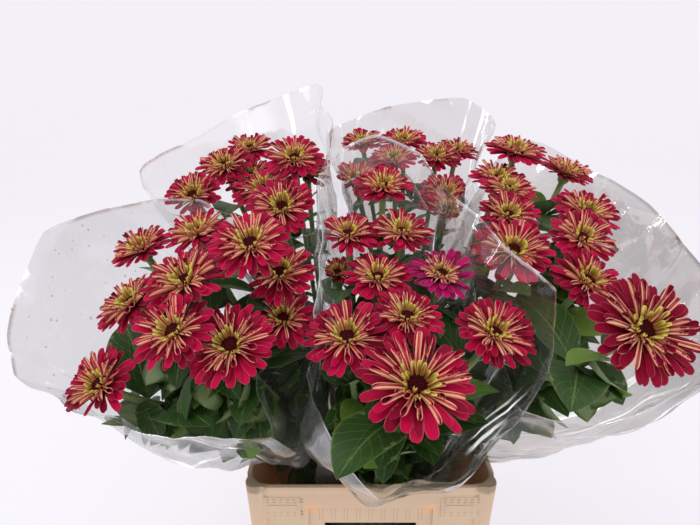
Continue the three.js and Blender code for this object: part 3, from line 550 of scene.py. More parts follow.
# %% Petal finish
def petal_finish():
    finish = Finish("zinnia petals")
    s, v, under = finish.mark("place")
    layer, tint, tone = finish.mark("kind")
    place = finish.place()
    grain = finish.noise(place, 90.0)
    cloud = finish.noise(place, 14.0, 2.0)
    rim = s.size().ramp(0.84, 0.97)
    streak = (s * 17.0 + tint * 9.0 + grain * 3.0).sine() * 0.5 + 0.5
    depth = (tint * 0.6 + cloud * 0.3 + streak * 0.12).ramp(0.2, 0.9)
    crimson = finish.mix(depth, shade(194, 0, 68), shade(124, 0, 38))
    magenta = finish.mix(depth, shade(184, 6, 100), shade(116, 2, 60))
    upper = finish.mix(tone.ramp(1.2, 1.8), crimson, magenta)
    # Painted shade: the upper face darkens to deep maroon towards the root, where the petals above shade it.
    upper = finish.mix(1 - v.ramp(0.0, 0.42), upper, shade(70, 0, 14))
    upper = finish.mix(rim * 0.5 * v.ramp(0.2, 0.6), upper, shade(226, 120, 132))
    peach = finish.mix(streak * 0.5 + grain * 0.5, shade(244, 196, 150), shade(222, 156, 116))
    pink = finish.mix(grain, shade(224, 140, 118), shade(206, 98, 100))
    lower = finish.mix((1 - layer.ramp(0.1, 0.4)) * (1 - tone.ramp(0.2, 0.9)) * 0.8, peach, pink)
    lower = finish.mix((1 - v.ramp(0.1, 0.5)) * layer.ramp(0.2, 0.6) * 0.55, lower, shade(206, 176, 84))
    lower = finish.mix(1 - v.ramp(0.0, 0.2), lower, shade(120, 46, 28))
    lower = finish.mix(v.ramp(0.86, 1.0) * cloud.ramp(0.45, 0.6) * 0.7, lower, shade(196, 60, 76))
    colour = finish.mix(under.ramp(0.35, 0.65), upper, lower)
    young = finish.mix(v.ramp(0.2, 0.9), shade(190, 140, 66), shade(240, 230, 120))
    colour = finish.mix(layer.ramp(0.75, 0.95), colour, young)
    veins = (s * 34.0).sine() * 0.5 + grain * 0.8
    normal = finish.bump(veins, 0.35, 0.0004)
    return finish.close(finish.principled({
        "Base Color": colour, "Roughness": grain * 0.2 + 0.5, "Normal": normal, "Specular IOR Level": 0.15,
    }))


def disc_finish():
    finish = Finish("zinnia disc")
    place = finish.place()
    grain = finish.noise(place, 260.0)
    cells = finish.node("ShaderNodeTexVoronoi", {}, {"Vector": place, "Scale": 900.0}, "Distance")
    colour = finish.mix(cells.ramp(0.1, 0.6) * 0.6 + grain * 0.4, shade(18, 1, 5), shade(78, 3, 14))
    return finish.close(finish.principled({
        "Base Color": colour, "Roughness": grain * 0.2 + 0.55, "Normal": finish.bump(cells, 0.6, 0.0006),
        "Specular IOR Level": 0.12,
    }))


petals = petal_finish()
disc = disc_finish()
print("petal finishes ready")

# %% [markdown]
# ## The disc's florets
#
# The dark middle of a zinnia is packed with small florets in the spiral of a sunflower: each is turned by
# the same angle from the last, and sits a little further out. That is a rule, so Geometry Nodes make it: a
# row of points is laid on the spiral, and a small cone is set on each. One disc is made, and every head
# gets a copy.

# %% Geometry trees
class Growth:
    """A geometry tree in the making, with the same short way of adding nodes."""

    def __init__(self, name):
        self.tree = bpy.data.node_groups.new(name, "GeometryNodeTree")
        self.tree.interface.new_socket("Geometry", in_out="INPUT", socket_type="NodeSocketGeometry")
        self.tree.interface.new_socket("Geometry", in_out="OUTPUT", socket_type="NodeSocketGeometry")
        self.start = self.tree.nodes.new("NodeGroupInput")
        self.end = self.tree.nodes.new("NodeGroupOutput")

    def size(self, name, kind, value):
        socket = self.tree.interface.new_socket(name, in_out="INPUT", socket_type="NodeSocket" + kind)
        socket.default_value = value
        return self.start.outputs[name]

    def node(self, kind, settings, inputs, output=0):
        made_node = self.tree.nodes.new(kind)
        for name, value in settings.items():
            setattr(made_node, name, value)
        for key, value in inputs.items():
            if isinstance(value, bpy.types.NodeSocket):
                self.tree.links.new(value, made_node.inputs[key])
            else:
                made_node.inputs[key].default_value = value
        return made_node.outputs[output]

    def maths(self, operation, *values):
        return self.node("ShaderNodeMath", {"operation": operation}, dict(enumerate(values)))

    def close(self, geometry, material):
        real = self.node("GeometryNodeRealizeInstances", {}, {0: geometry})
        painted = self.node("GeometryNodeSetMaterial", {}, {0: real, "Material": material})
        self.tree.links.new(painted, self.end.inputs[0])

    def grow(self, name, values, ground=None):
        """A plain mesh from the tree, with the named inputs set; ground is the mesh that it grows on."""
        carrier = bpy.data.objects.new(name, ground or bpy.data.meshes.new(name))
        scene.collection.objects.link(carrier)
        modifier = carrier.modifiers.new("growth", "NODES")
        modifier.node_group = self.tree
        for item in self.tree.interface.items_tree:
            if item.item_type == "SOCKET" and item.in_out == "INPUT" and item.name in values:
                modifier[item.identifier] = values[item.name]
        evaluated = carrier.evaluated_get(bpy.context.evaluated_depsgraph_get())
        mesh = bpy.data.meshes.new_from_object(evaluated)
        carrier.modifiers.remove(modifier)
        bpy.data.objects.remove(carrier)
        return mesh


print("geometry trees ready")

# %% Florets
SPIRAL_STEP, FLORETS, FLORET_SIZE = math.radians(137.508), 48, 0.12


def floret_growth():
    growth = Growth("florets on a spiral")
    count = growth.size("Count", "Int", 60)
    spread = growth.size("Radius", "Float", 1.0)
    height = growth.size("Dome", "Float", 0.35)
    size = growth.size("Floret", "Float", FLORET_SIZE)
    line = growth.node("GeometryNodeMeshLine", {}, {"Count": count})
    index = growth.node("GeometryNodeInputIndex", {}, {})
    share = growth.maths("DIVIDE", index, count)
    away = growth.maths("MULTIPLY", growth.maths("SQRT", share), spread)
    angle = growth.maths("MULTIPLY", index, SPIRAL_STEP)
    x = growth.maths("MULTIPLY", away, growth.maths("COSINE", angle))
    y = growth.maths("MULTIPLY", away, growth.maths("SINE", angle))
    z = growth.maths("MULTIPLY", growth.maths("SUBTRACT", 1.0, share), height)
    spot = growth.node("ShaderNodeCombineXYZ", {}, {0: x, 1: y, 2: z})
    laid = growth.node("GeometryNodeSetPosition", {}, {"Geometry": line, "Position": spot})
    cone = growth.node("GeometryNodeMeshCone", {}, {
        "Vertices": 5, "Radius Top": 0.0, "Radius Bottom": size, "Depth": growth.maths("MULTIPLY", size, 2.0),
    })
    stood = growth.node("GeometryNodeInstanceOnPoints", {}, {"Points": laid, "Instance": cone})
    growth.close(stood, disc)
    return growth


floret_disc = floret_growth().grow("floret disc", {"Count": FLORETS, "Floret": FLORET_SIZE})
floret_points, floret_corners = loose_mesh(floret_disc)
print("florets", len(floret_corners), "triangles")

# %% [markdown]
# ## The flower heads
#
# From the outside in, a head has two layers of broad crimson petals, two layers of rolled petals that show
# their peach backs, and short upright quills round the dark disc. Each layer is one call of the ribbon
# maker. The lifts read from the solid bend a whole side of the head up where it is pressed. A layer's table
# gives its share of the usual 11 petals, how deep they root, and how their lift, length, width and roll
# vary.

# %% Petal layers
STATIONS = np.array([0, 0.15, 0.34, 0.54, 0.73, 0.87, 0.95, 1.0])
PETALS_IN_LAYER, STEEPEST, SHORTEST, ROLLED_FROM, PETAL_THICK = 11, 0.8, 0.2, 0.3, 0.3 * MM
PETAL_START, TURN_PLAY, BEND_PLAY, DRIFT_PLAY, TWIST_PLAY = 0.8, 0.28, 9, 0.1, 16
COUNT_LEAST, COUNT_PLAY, LIFT_PLAY, WIDTH_PLAY, MOSTLY_FLAT = 0.9, 0.2, (-5, 6), (0.82, 1.12), 2.2
OPEN_FROM, OPEN_SHARPNESS, OPENED, NOTCHES, NOTCH_DEPTH = (0.72, 1.1), 14, 0.45, (0.0, 0.4, 1.0), 0.018
DEEP = {"d9": 0.9}
LAYERS = [
    {"share": 2.0, "root": -4.6, "lift": 0.0, "inner": False, "length": (1.0, 1.15), "half": 0.054,
     "widths": [0.34, 0.48, 0.72, 0.91, 1.0, 0.93, 0.74, 0.36],
     "across": 5, "roll": (0.3, 1.2), "kind": 0.0, "bend": 22},
    {"share": 1.3, "root": -3.6, "lift": 0.22, "inner": False, "length": (0.86, 1.06), "half": 0.047,
     "widths": [0.36, 0.55, 0.79, 0.95, 1.0, 0.89, 0.7, 0.36],
     "across": 5, "roll": (0.6, 3.6), "kind": 0.15, "bend": 16},
    {"share": 1.6, "root": -2.4, "lift": 0.42, "inner": False, "length": (0.68, 1.0), "half": 0.064,
     "widths": [0.8, 0.87, 0.95, 1.03, 1.1, 1.06, 0.84, 0.42],
     "across": 6, "roll": (6.2, 6.6), "kind": 0.45, "bend": 6},
    {"share": 1.2, "root": -1.4, "lift": 0.9, "inner": True, "length": (0.62, 0.98), "half": 0.056,
     "widths": [0.8, 0.87, 0.95, 1.0, 1.05, 1.0, 0.84, 0.5],
     "across": 5, "roll": (6.3, 6.7), "kind": 0.6, "bend": -10},
]


def ring_of(table, head, angles):
    """The table's rows, one for each petal of the solid, read at any angle round the head."""
    count = head["count"]
    at = (angles - head["first"]) / (2 * np.pi) * count
    low = np.floor(at).astype(int)
    share = (at - low)[:, None]
    return table[low % count] * (1 - share) + table[(low + 1) % count] * share


def spokes(head, angles):
    """The directions from a head's middle outwards, one for each angle."""
    return np.cos(angles)[:, None] * head["side"] + np.sin(angles)[:, None] * head["other"]


def rising(head, radial, stations, start, root, length, slope):
    """Centre lines that leave the head at the radius start and the height root, and which way up they are."""
    step = np.diff(stations, prepend=0)[None] * length
    r = start + np.cumsum(step * np.cos(slope), axis=1)
    h = root + np.cumsum(step * np.sin(slope), axis=1)
    centre = head["middle"] + r[..., None] * radial[:, None] + h[..., None] * head["out"]
    up = np.cos(slope)[..., None] * head["out"] - np.sin(slope)[..., None] * radial[:, None]
    return centre, up


def petal_layer(skin, head, layer, rng, tone, quills):
    across = head["across"]
    count = int(round(layer["share"] * PETALS_IN_LAYER * (COUNT_LEAST + COUNT_PLAY * rng.random())))
    steps = np.arange(count) + rng.uniform(-TURN_PLAY, TURN_PLAY, count)
    angles = steps / count * 2 * np.pi + rng.uniform(0, 6)
    lifts, reach = ring_of(head["lifts"], head, angles), ring_of(head["reach"], head, angles)
    lift = lifts[:, 0] + (np.maximum(lifts[:, 1], lifts[:, 0]) - lifts[:, 0]) * layer["lift"]
    lift = np.minimum(lift, STEEPEST)
    lift = lift + np.radians(rng.uniform(*LIFT_PLAY, count))
    rolled = layer["kind"] > ROLLED_FROM
    reach = np.maximum(reach[:, int(layer["inner"])], across * SHORTEST)
    length = reach * rng.uniform(*layer["length"], count) * quills
    bend = np.radians(layer["bend"] + rng.uniform(-BEND_PLAY, BEND_PLAY, count))
    slope = lift[:, None] + bend[:, None] * (0.5 - STATIONS)
    drift = rng.uniform(-DRIFT_PLAY, DRIFT_PLAY, count)[:, None] * (STATIONS**2)[None] * length[:, None]
    radial = spokes(head, angles)
    tangent = np.cross(head["out"], radial)
    start, root = head["core"] * PETAL_START, layer["root"] * MM
    centre, up = rising(head, radial, STATIONS, start, root, length[:, None], slope)
    centre = centre + drift[..., None] * tangent[:, None]
    twist = np.radians(rng.uniform(-TWIST_PLAY, TWIST_PLAY, count))[:, None] * STATIONS
    up = up + np.sin(twist)[..., None] * tangent[:, None]
    half = layer["half"] * across * rng.uniform(*WIDTH_PLAY, count)[:, None] * np.array(layer["widths"])
    low, high = layer["roll"]
    curl = low + (high - low) * rng.random(count) ** (1.0 if rolled else MOSTLY_FLAT)
    open_at = rng.uniform(*OPEN_FROM, count)[:, None]
    opening = 1 / (1 + np.exp(-(STATIONS - open_at) * OPEN_SHARPNESS))
    roll = curl[:, None] * (1 - OPENED * opening)
    tint = np.maximum(rng.random(count), DEEP.get(head["name"], 0.0))
    kind = np.stack([np.full(count, layer["kind"]), tint, np.full(count, tone)], 1)
    notch = rng.choice(NOTCHES, count)[:, None, None] * NOTCH_DEPTH * across
    ribbons(skin, centre, up, half, roll, PETAL_THICK, layer["across"], kind, notch=notch)


print("petal layers", len(LAYERS))

# %% Quills and disc
QUILL_STATIONS = np.array([0, 0.3, 0.6, 0.85, 1.0])
QUILL_WIDTHS, QUILL_ROLLS = np.array([0.75, 0.85, 1.0, 0.95, 0.6]), 5.9 * np.array([1, 1, 0.95, 0.8, 0.7])
QUILL_COUNT, QUILL_LENGTH, QUILL_SLOPE, QUILL_START = (15, 20), (0.09, 0.16), (46, 76), (0.74, 0.98)
QUILL_TURN_PLAY, QUILL_ARCH, QUILL_ROOT, QUILL_HALF, QUILL_WIDTH_PLAY = 0.3, 0.25, 0.2 * MM, 0.041, (0.8, 1.1)
DISC_LIFT, DISC_SIDES = 1.6 * MM, 16


def quill_layer(skin, head, rng, tone, quills):
    across, count = head["across"], int(rng.integers(*QUILL_COUNT))
    angles = (np.arange(count) + rng.uniform(-QUILL_TURN_PLAY, QUILL_TURN_PLAY, count)) / count * 2 * np.pi
    length = across * rng.uniform(*QUILL_LENGTH, count)[:, None] * quills
    slope = np.radians(rng.uniform(*QUILL_SLOPE, count))[:, None] + QUILL_ARCH * (QUILL_STATIONS - 0.5)
    start = head["core"] * rng.uniform(*QUILL_START, count)[:, None]
    centre, up = rising(head, spokes(head, angles), QUILL_STATIONS, start, QUILL_ROOT, length, slope)
    half = QUILL_HALF * across * QUILL_WIDTHS[None] * rng.uniform(*QUILL_WIDTH_PLAY, count)[:, None]
    kind = np.stack([np.ones(count), rng.random(count), np.full(count, tone)], 1)
    ribbons(skin, centre, up, half, np.broadcast_to(QUILL_ROLLS, half.shape), PETAL_THICK, 5, kind)


def head_disc(skin, head):
    core = head["core"]
    axes = (head["side"], head["other"], head["out"])
    profile = [(0.6 * core, -7), (0.98 * core, -6.6), (1.0 * core, -3), (0.94 * core, 0), (0.9 * core, 1.2),
               (0.6 * core, 2.6), (0.25 * core, 3.3), (0.02 * core, 3.5)]
    turned(skin, head["middle"], *axes, [(r, z * MM) for r, z in profile], DISC_SIDES, (0, 0, 0), 1)
    size = np.array([0.86 * core, 0.86 * core, 0.5 * core])
    spots = floret_points * size + np.array([0, 0, DISC_LIFT])
    points = head["middle"] + spots[:, :1] * axes[0] + spots[:, 1:2] * axes[1] + spots[:, 2:] * axes[2]
    skin.add(points, corners=floret_corners, part=1)


print("quills and disc ready")

# %% Flower heads
TONES = {"d2": 0.8, "d8": 1.0, "d6": 0.9, "e1": 0.7, "b1": 0.8, "b2": 0.8, "e3": 2.0, "b6": 0.0, "e2": 0.0}
QUILLS = {"e3": 0.75, "e9": 1.05, "d9": 1.05}

for number, (name, found) in enumerate(heads.items()):
    skin = Skin()
    for turn, head in enumerate(found):
        rng = np.random.default_rng(1000 + 10 * number + turn)
        key = head["name"] = name.split("_")[1]
        tone = TONES.get(key, 0.25 + 0.3 * rng.random())
        quills = QUILLS.get(key, 1.0)
        for layer in LAYERS:
            petal_layer(skin, head, layer, rng, tone, quills if layer["kind"] > ROLLED_FROM else 1.0)
        quill_layer(skin, head, rng, tone, quills)
        head_disc(skin, head)
    finished(skin.build(name.replace("bloom_", "zinnia_"), [petals, disc]), "petals", name)
print("heads", triangles_in("zinnia_"), "triangles")

# %% [markdown]
# ## Green finishes
#
# A zinnia's leaves are matt and dark green above, pale below, with a light midrib and curved side veins.
# The veins could be painted on a picture, but a picture blurs near by. Sums of the place along and across
# the blade draw them instead, sharp at any distance, and the same sums raise them a little. Stems are
# ridged and hairy, so their finish is a noise that is stretched along them.

# %% Leaf and stem finishes
def leaf_finish():
    finish = Finish("zinnia leaves")
    s, v, under = finish.mark("place")
    _, tint, _ = finish.mark("kind")
    place = finish.place()
    cloud, grain = finish.noise(place, 22.0), finish.noise(place, 420.0)
    rib = 1 - s.size().ramp(0.0, 0.07)
    lean = (v * 8.0 - s.size() * 2.3 + cloud * 0.4).part()
    vein = 1 - (lean - 0.5).size().ramp(0.0, 0.09)
    long_vein = 1 - ((s.size() - 0.42 * (1 - v)).size()).ramp(0.0, 0.035)
    lines = (rib + vein * 0.6 + long_vein * 0.5).ramp(0.0, 1.2)
    dark = finish.mix(cloud, shade(22, 50, 18), shade(58, 94, 34))
    lime = finish.mix(cloud, shade(74, 116, 36), shade(118, 152, 60))
    green = finish.mix(tint.ramp(0.72, 0.98), dark, lime)
    upper = finish.mix(lines * 0.55, green, shade(128, 152, 84))
    lower = finish.mix(lines * 0.5, shade(148, 170, 120), shade(190, 204, 162))
    colour = finish.mix(under, upper, lower)
    colour = finish.mix((s.size().ramp(0.9, 1.0)) * 0.4, colour, shade(130, 140, 70))
    height = lines * -1.0 + grain * 0.25 + cloud * 0.5
    return finish.close(finish.principled({
        "Base Color": colour, "Roughness": grain * 0.2 + 0.4, "Normal": finish.bump(height, 0.5, 0.0012),
        "Specular IOR Level": 0.4, "Subsurface Weight": 0.05, "Subsurface Radius": (0.002, 0.003, 0.001),
        "Subsurface Scale": 0.5,
    }))


def stem_finish():
    finish = Finish("zinnia stems")
    _, v, _ = finish.mark("place")
    kind, _, _ = finish.mark("kind")
    place = finish.place()
    ridge = finish.noise(finish.stretch(place, (260.0, 260.0, 8.0)), 1.0)
    cloud = finish.noise(place, 12.0)
    stem = finish.mix(ridge, shade(96, 128, 62), shade(150, 172, 104))
    stem = finish.mix(cloud * 0.5, stem, shade(116, 130, 78))
    scale = finish.mix(v.ramp(0.55, 1.0), shade(126, 158, 70), shade(92, 84, 48))
    colour = finish.mix(kind, stem, scale)
    hair = finish.noise(place, 1600.0)
    return finish.close(finish.principled({
        "Base Color": colour, "Roughness": 0.55, "Normal": finish.bump(ridge + hair * 0.3, 0.4, 0.0006),
        "Sheen Weight": 0.25, "Subsurface Weight": 0.05, "Subsurface Radius": (0.002, 0.003, 0.001),
        "Subsurface Scale": 0.5,
    }))


leaf_green = leaf_finish()
stem_green = stem_finish()
print("green finishes ready")

# %% [markdown]
# ## Stems and calyces
#
# Each stem rises from the floor of the crate, is held in a ring by the rubber band, passes the crate's rim
# and swings out to its head. A curve object with a bevel could draw it, but its twist is hard to foresee,
# so rings of points are laid along the same curve as in the solid. Under the head sits the calyx, a cup of
# overlapping green scales: each is a short ribbon that stands on a turned shape.

# %% Stems and calyces
GATES = {"a": (-84, -62), "b": (-72, 92), "c": (68, 98), "d": (84, -55), "e": (0, -135)}
STEM_RADIUS, NECK_RADIUS, STEM_SPACING, STEM_SIDES = 3.5 * MM, 4.3 * MM, 7.8 * MM, 9
FOOT_SPREAD, WAIST, GATE_TOP = 1.45, 100 * MM, 334 * MM
STEM_FOOT_POINTS, STEM_CURVE_POINTS, NECK_POINTS = 5, 20, 6
GATE_SHARE, STEM_BEND, CALYX_LENGTH, STEM_FOOT, FAN_HEIGHT = 0.14, 0.36, 11 * MM, 4.3 * MM, 200 * MM


def tube(skin, line, radii, sides, kind, part):
    """A closed round tube along a line of points."""
    along = unit(np.gradient(line, axis=0))
    side = unit(np.cross(along, [0.0, 1.0, 0.0]))
    other = np.cross(along, side)
    turns = np.arange(sides) / sides * 2 * np.pi
    ring = np.cos(turns)[None, :, None] * side[:, None] + np.sin(turns)[None, :, None] * other[:, None]
    points = line[:, None] + radii[:, None, None] * ring
    place = np.zeros(points.shape)
    place[..., 1] = np.linspace(0, 1, len(line))[:, None]
    faces = wall_faces(len(line), sides), end_faces(len(line), sides)
    skin.add(points, *faces, place.reshape(-1, 3), kind, part)


def stem_line(foot, gate, head, mean, angle, ring):
    """Foot, waist, and then a bend through the gate out to the neck under the head."""
    around = np.array([math.cos(angle), math.sin(angle), 0]) * ring
    low = np.array([foot[0], foot[1], STEM_FOOT]) + around * FOOT_SPREAD
    waist = np.array([foot[0], foot[1], WAIST]) + around
    middle = head["middle"]
    through = np.array([
        gate[0] + (middle[0] - mean[0]) * GATE_SHARE, gate[1] + (middle[1] - mean[1]) * GATE_SHARE, GATE_TOP,
    ])
    neck = middle - head["out"] * (UNDERSIDE_DEPTH + CALYX_LENGTH)
    way = unit(middle - np.array([gate[0], gate[1], FAN_HEIGHT]))
    bend = neck - way * STEM_BEND * np.linalg.norm(neck - through)
    t = np.linspace(0, 1, STEM_CURVE_POINTS)[:, None]
    curve = (1 - t) ** 3 * waist + 3 * (1 - t) ** 2 * t * through + 3 * (1 - t) * t**2 * bend + t**3 * neck
    foot_part = low + (waist - low) * np.linspace(0, 0.9, STEM_FOOT_POINTS)[:, None]
    return np.concatenate([foot_part, curve])


def calyx(skin, head, rng):
    out, middle = head["out"], head["middle"]
    base = middle - out * (UNDERSIDE_DEPTH + CALYX_LENGTH)
    profile = [(0.9, -1.5), (1.05, 0), (1.35, 2), (1.75, 4.5), (1.95, 7.5), (1.4, 11)]
    axes = (head["side"], head["other"], out)
    turned(skin, base, *axes, [(r * NECK_RADIUS, z * MM) for r, z in profile], 14, (1, 0.5, 0), 1)
    for row, (r, z, tall, count) in enumerate([(1.2, 0.4, 4.5, 7), (1.6, 2.6, 5.0, 9), (1.85, 5.0, 5.6, 11)]):
        angles = (np.arange(count) + 0.5 * (row % 2)) / count * 2 * np.pi + rng.uniform(0, 1)
        radial = spokes(head, angles)
        t = np.array([0, 0.35, 0.75, 1])
        lean = np.array([0, 0.55, 0.8, 0.92]) * (1.2 - 0.3 * row)
        centre = (
            base + (r * NECK_RADIUS + lean * MM)[None, :, None] * radial[:, None]
            + (z * MM + t * tall * MM)[None, :, None] * out
        )
        up = np.broadcast_to(-radial[:, None], centre.shape)
        half = np.broadcast_to(np.array([1.7, 2.1, 1.2, 0.3]) * MM, centre.shape[:2])
        kind = np.stack([np.ones(count), rng.random(count), np.zeros(count)], 1)
        ribbons(skin, centre, up, half, np.full(half.shape, 1.1), 0.35 * MM, 4, kind, part=1)


def middle_of(low, high):
    return (np.array(low) + np.array(high)) / 2


def stems_of(skin, name):
    """Draws a bunch's stems, and gives each stem's line above the rubber band."""
    foot = middle_of(*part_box("band_" + name))
    own = [head for key, found in heads.items() if key.startswith("bloom_" + name) for head in found]
    mean = np.mean([head["middle"] for head in own], axis=0)
    ring = len(own) * STEM_SPACING / (2 * math.pi)
    own.sort(key=lambda head: math.atan2(head["middle"][1] - mean[1], head["middle"][0] - mean[0]))
    start = math.atan2(own[0]["middle"][1] - mean[1], own[0]["middle"][0] - mean[0])
    gate = [v * MM for v in GATES[name]]
    lines = []
    for place, head in enumerate(own):
        rng = np.random.default_rng(7000 + 100 * ord(name) + place)
        line = stem_line(foot, gate, head, mean, start + place / len(own) * 2 * math.pi, ring)
        radii = np.full(len(line), STEM_RADIUS)
        radii[-NECK_POINTS:] = np.linspace(STEM_RADIUS, NECK_RADIUS, NECK_POINTS)
        tube(skin, line, radii, STEM_SIDES, (0, rng.random(), 0), 1)
        calyx(skin, head, rng)
        lines.append(line[STEM_FOOT_POINTS:])
    return lines


print("stem maker ready")

# %% [markdown]
# ## Large leaves
#
# The leaves are ovate and stand on the stem without a stalk. The solids hold the large ones as folded
# blades of a few faces. Copying those faces would show their corners, so each leaf is measured, and a finer
# blade with a ripple along its edge takes its place. A leaf's tip is the one point with four neighbours
# that stand across the blade, and these give its direction, its width and its length.

# %% Reading the leaves
LEAF_WIDTH, LEAF_SPAN_AT, LEAF_TIP_DROP, LEAF_SPAN_DROP = 0.62, 0.82, 0.16, 0.03
TIP_GAP, TIP_GAP_PLAY, TIP_SHARE, TIP_SHARE_PLAY, BEFORE_TIP = 1.5 * MM, 0.06 * MM, 0.32, 0.03, 0.68


def leaf_frames(name):
    """Root, direction, side, upper side and length of every leaf in a foliage solid."""
    points, corners = solid_mesh("foliage_" + name)
    leaves = []
    for i, near in enumerate(neighbours(points, corners)):
        if len(near) != 4:
            continue
        near = sorted(near)
        pairs = [(p, q) for k, p in enumerate(near) for q in near[k + 1:]]
        gaps = [(np.linalg.norm(points[p] - points[q]), p, q) for p, q in pairs]
        gap, p, q = min(gaps)
        span, e, f = max(gaps)
        if abs(gap - TIP_GAP) > TIP_GAP_PLAY or {p, q} & {e, f}:
            continue
        mid = (points[p] + points[q]) / 2
        over = unit(points[p] - points[q])
        if over @ ((points[e] + points[f]) / 2 - mid) < 0:
            over = -over
        length = span / (LEAF_WIDTH * LEAF_SPAN_AT)
        out = points[i] - mid + (LEAF_TIP_DROP - LEAF_SPAN_DROP) * length * over
        if abs(np.linalg.norm(out) / length - TIP_SHARE) > TIP_SHARE_PLAY:
            continue
        out = unit(out)
        side = unit(np.cross(out, over))
        root = mid - out * BEFORE_TIP * length + over * LEAF_SPAN_DROP * length
        leaves.append((root, out, side, over, length))
    return leaves


large_leaves = {name: leaf_frames(name) for name in "abcde"}
print("large leaves", {name: len(found) for name, found in large_leaves.items()})

# %% Leaf blades
LEAF_ALONG = [0, 0.05, 0.13, 0.24, 0.36, 0.5, 0.68, 0.82, 0.92, 1]
LEAF_HALF = [0.06, 0.12, 0.5, 0.82, 0.98, 1.02, 0.88, 0.62, 0.34, 0.03]
DROP_ALONG = [0, 0.17, 0.34, 0.5, 0.68, 0.85, 1]
DROPS = [0, 0.014, 0.02, 0.008, -0.03, -0.088, -0.16]
LEAF_CURL, LEAF_FOLD, LEAF_THICK, LEAF_SWAY = 0.3, 0.14, 0.45 * MM, 0.05
RIPPLE_WAVES, RIPPLE_HEIGHT = (9, 14), 0.016


def leaf(skin, rng, root, out, side, over, length, stations, across):
    """One leaf blade: ovate, folded along its middle and drooping to the tip."""
    t = np.linspace(0, 1, stations)
    drop = np.interp(t, DROP_ALONG, DROPS)
    width = np.interp(t, LEAF_ALONG, LEAF_HALF)
    centre = root + t[:, None] * length * out + (drop * length)[:, None] * over
    centre = centre + (rng.uniform(-LEAF_SWAY, LEAF_SWAY) * t**2 * length)[:, None] * side
    half = (width * length * LEAF_WIDTH / 2)[None]
    waves = np.sin(t * rng.uniform(*RIPPLE_WAVES) + rng.uniform(0, 6))
    ripple = (waves * RIPPLE_HEIGHT * length * width)[None]
    up = np.broadcast_to(over, (1, *centre.shape))
    kind = [(0, rng.random(), 0)]
    curl = np.full(half.shape, LEAF_CURL)
    ribbons(skin, centre[None], up, half, curl, LEAF_THICK, across, kind, fold=LEAF_FOLD, wave=ripple)


def obstacles():
    """What a leaf may not cross: the film, the heads and the crate."""
    points, corners = [], []
    for name in nodes:
        if name.startswith(("sleeve_", "bloom_", "crate")):
            own, faces = solid_mesh(name)
            corners += (faces + sum(map(len, points))).tolist()
            points.append(own)
    return BVHTree.FromPolygons(np.concatenate(points).tolist(), corners)


STALK, LEAF_START = 2 * MM, 0.5 * MM
blocked = obstacles()


def on_stem(line, share):
    at = share * (len(line) - 1)
    low = int(at)
    return line[low] + (line[low + 1] - line[low]) * (at - low)


def blade(root, angle, rise, lean, length):
    """Root, direction, side, upper side and length of a leaf that leaves its stem in that direction."""
    out = np.array([math.cos(angle) * math.cos(rise), math.sin(angle) * math.cos(rise), math.sin(rise)])
    over = unit(np.array([0, 0, 1.0]) - out[2] * out)
    side = np.cross(out, over)
    side, over = side * math.cos(lean) + over * math.sin(lean), over * math.cos(lean) - side * math.sin(lean)
    return root + out * STALK, out, side, over, length


def is_free(frame_of_leaf):
    """Whether no film, head or wall stands between a leaf's root and its tip and sides."""
    root, out, side, over, length = frame_of_leaf
    start = Vector(root - out * STALK)
    tip = out * length - over * LEAF_TIP_DROP * length
    widest, half = out * length * 0.45, side * LEAF_WIDTH * length / 2
    for way in map(Vector, (tip, widest + half, widest - half)):
        if blocked.ray_cast(start + way.normalized() * LEAF_START, way, way.length)[0] is not None:
            return False
    return True


print("leaf blades ready")

# %% [markdown]
# ## Smaller leaves
#
# A real bunch is dense with leaves, most of them small. Geometry Nodes could scatter them over the stems,
# but then they would pierce the film and the heads. Here each leaf is tried in a few directions, and rays
# from its root to its tip and its sides say whether the way is free. In the two bunches that lean out, long
# leaves also hang from the lowest stems into the belly of the sleeve.

# %% Smaller leaves
TRIES, SMALL_SHARES, SMALL_LONGEST, SMALL_SHORTEST = 4, np.arange(0.26, 0.95, 0.07), 92 * MM, 36 * MM
SMALL_TURN_PLAY, SMALL_RISE, SMALL_LEAN, SMALL_SIZE = 0.4, (-0.6, 0.9), 0.7, (0.8, 1.15)
LOW_SHARES, LOW_LENGTHS, LOW_STEMS = np.arange(0.08, 0.86, 0.06), np.array([110, 94, 78, 62, 48, 38]) * MM, 5
LOW_RISES, LOW_RISE_PLAY, LOW_TURN, LOW_LEAN = (-0.55, 0.15), 0.35, (-0.3, 1.3), 0.8
FRONT_WAY, FLIPPED, AT_THE_ROOT, LESS_UPWARDS = -math.pi / 2, 0.4, 1.12, 0.7


def small_leaves(lines, rng, shares):
    """Pairs of smaller leaves up the stems, wherever the film and the heads leave room for them."""
    frames = []
    for line in lines:
        for share in shares:
            turn = rng.uniform(0, math.pi)
            for opposite in (0, math.pi):
                for _ in range(TRIES):
                    angle = turn + opposite + rng.normal() * SMALL_TURN_PLAY
                    rise = rng.uniform(*SMALL_RISE)
                    longest = SMALL_LONGEST + (SMALL_SHORTEST - SMALL_LONGEST) * share
                    length = longest * rng.uniform(*SMALL_SIZE)
                    lean = rng.uniform(-SMALL_LEAN, SMALL_LEAN)
                    found = blade(on_stem(line, share), angle, rise, lean, length)
                    if is_free(found):
                        frames.append(found)
                        break
    return frames


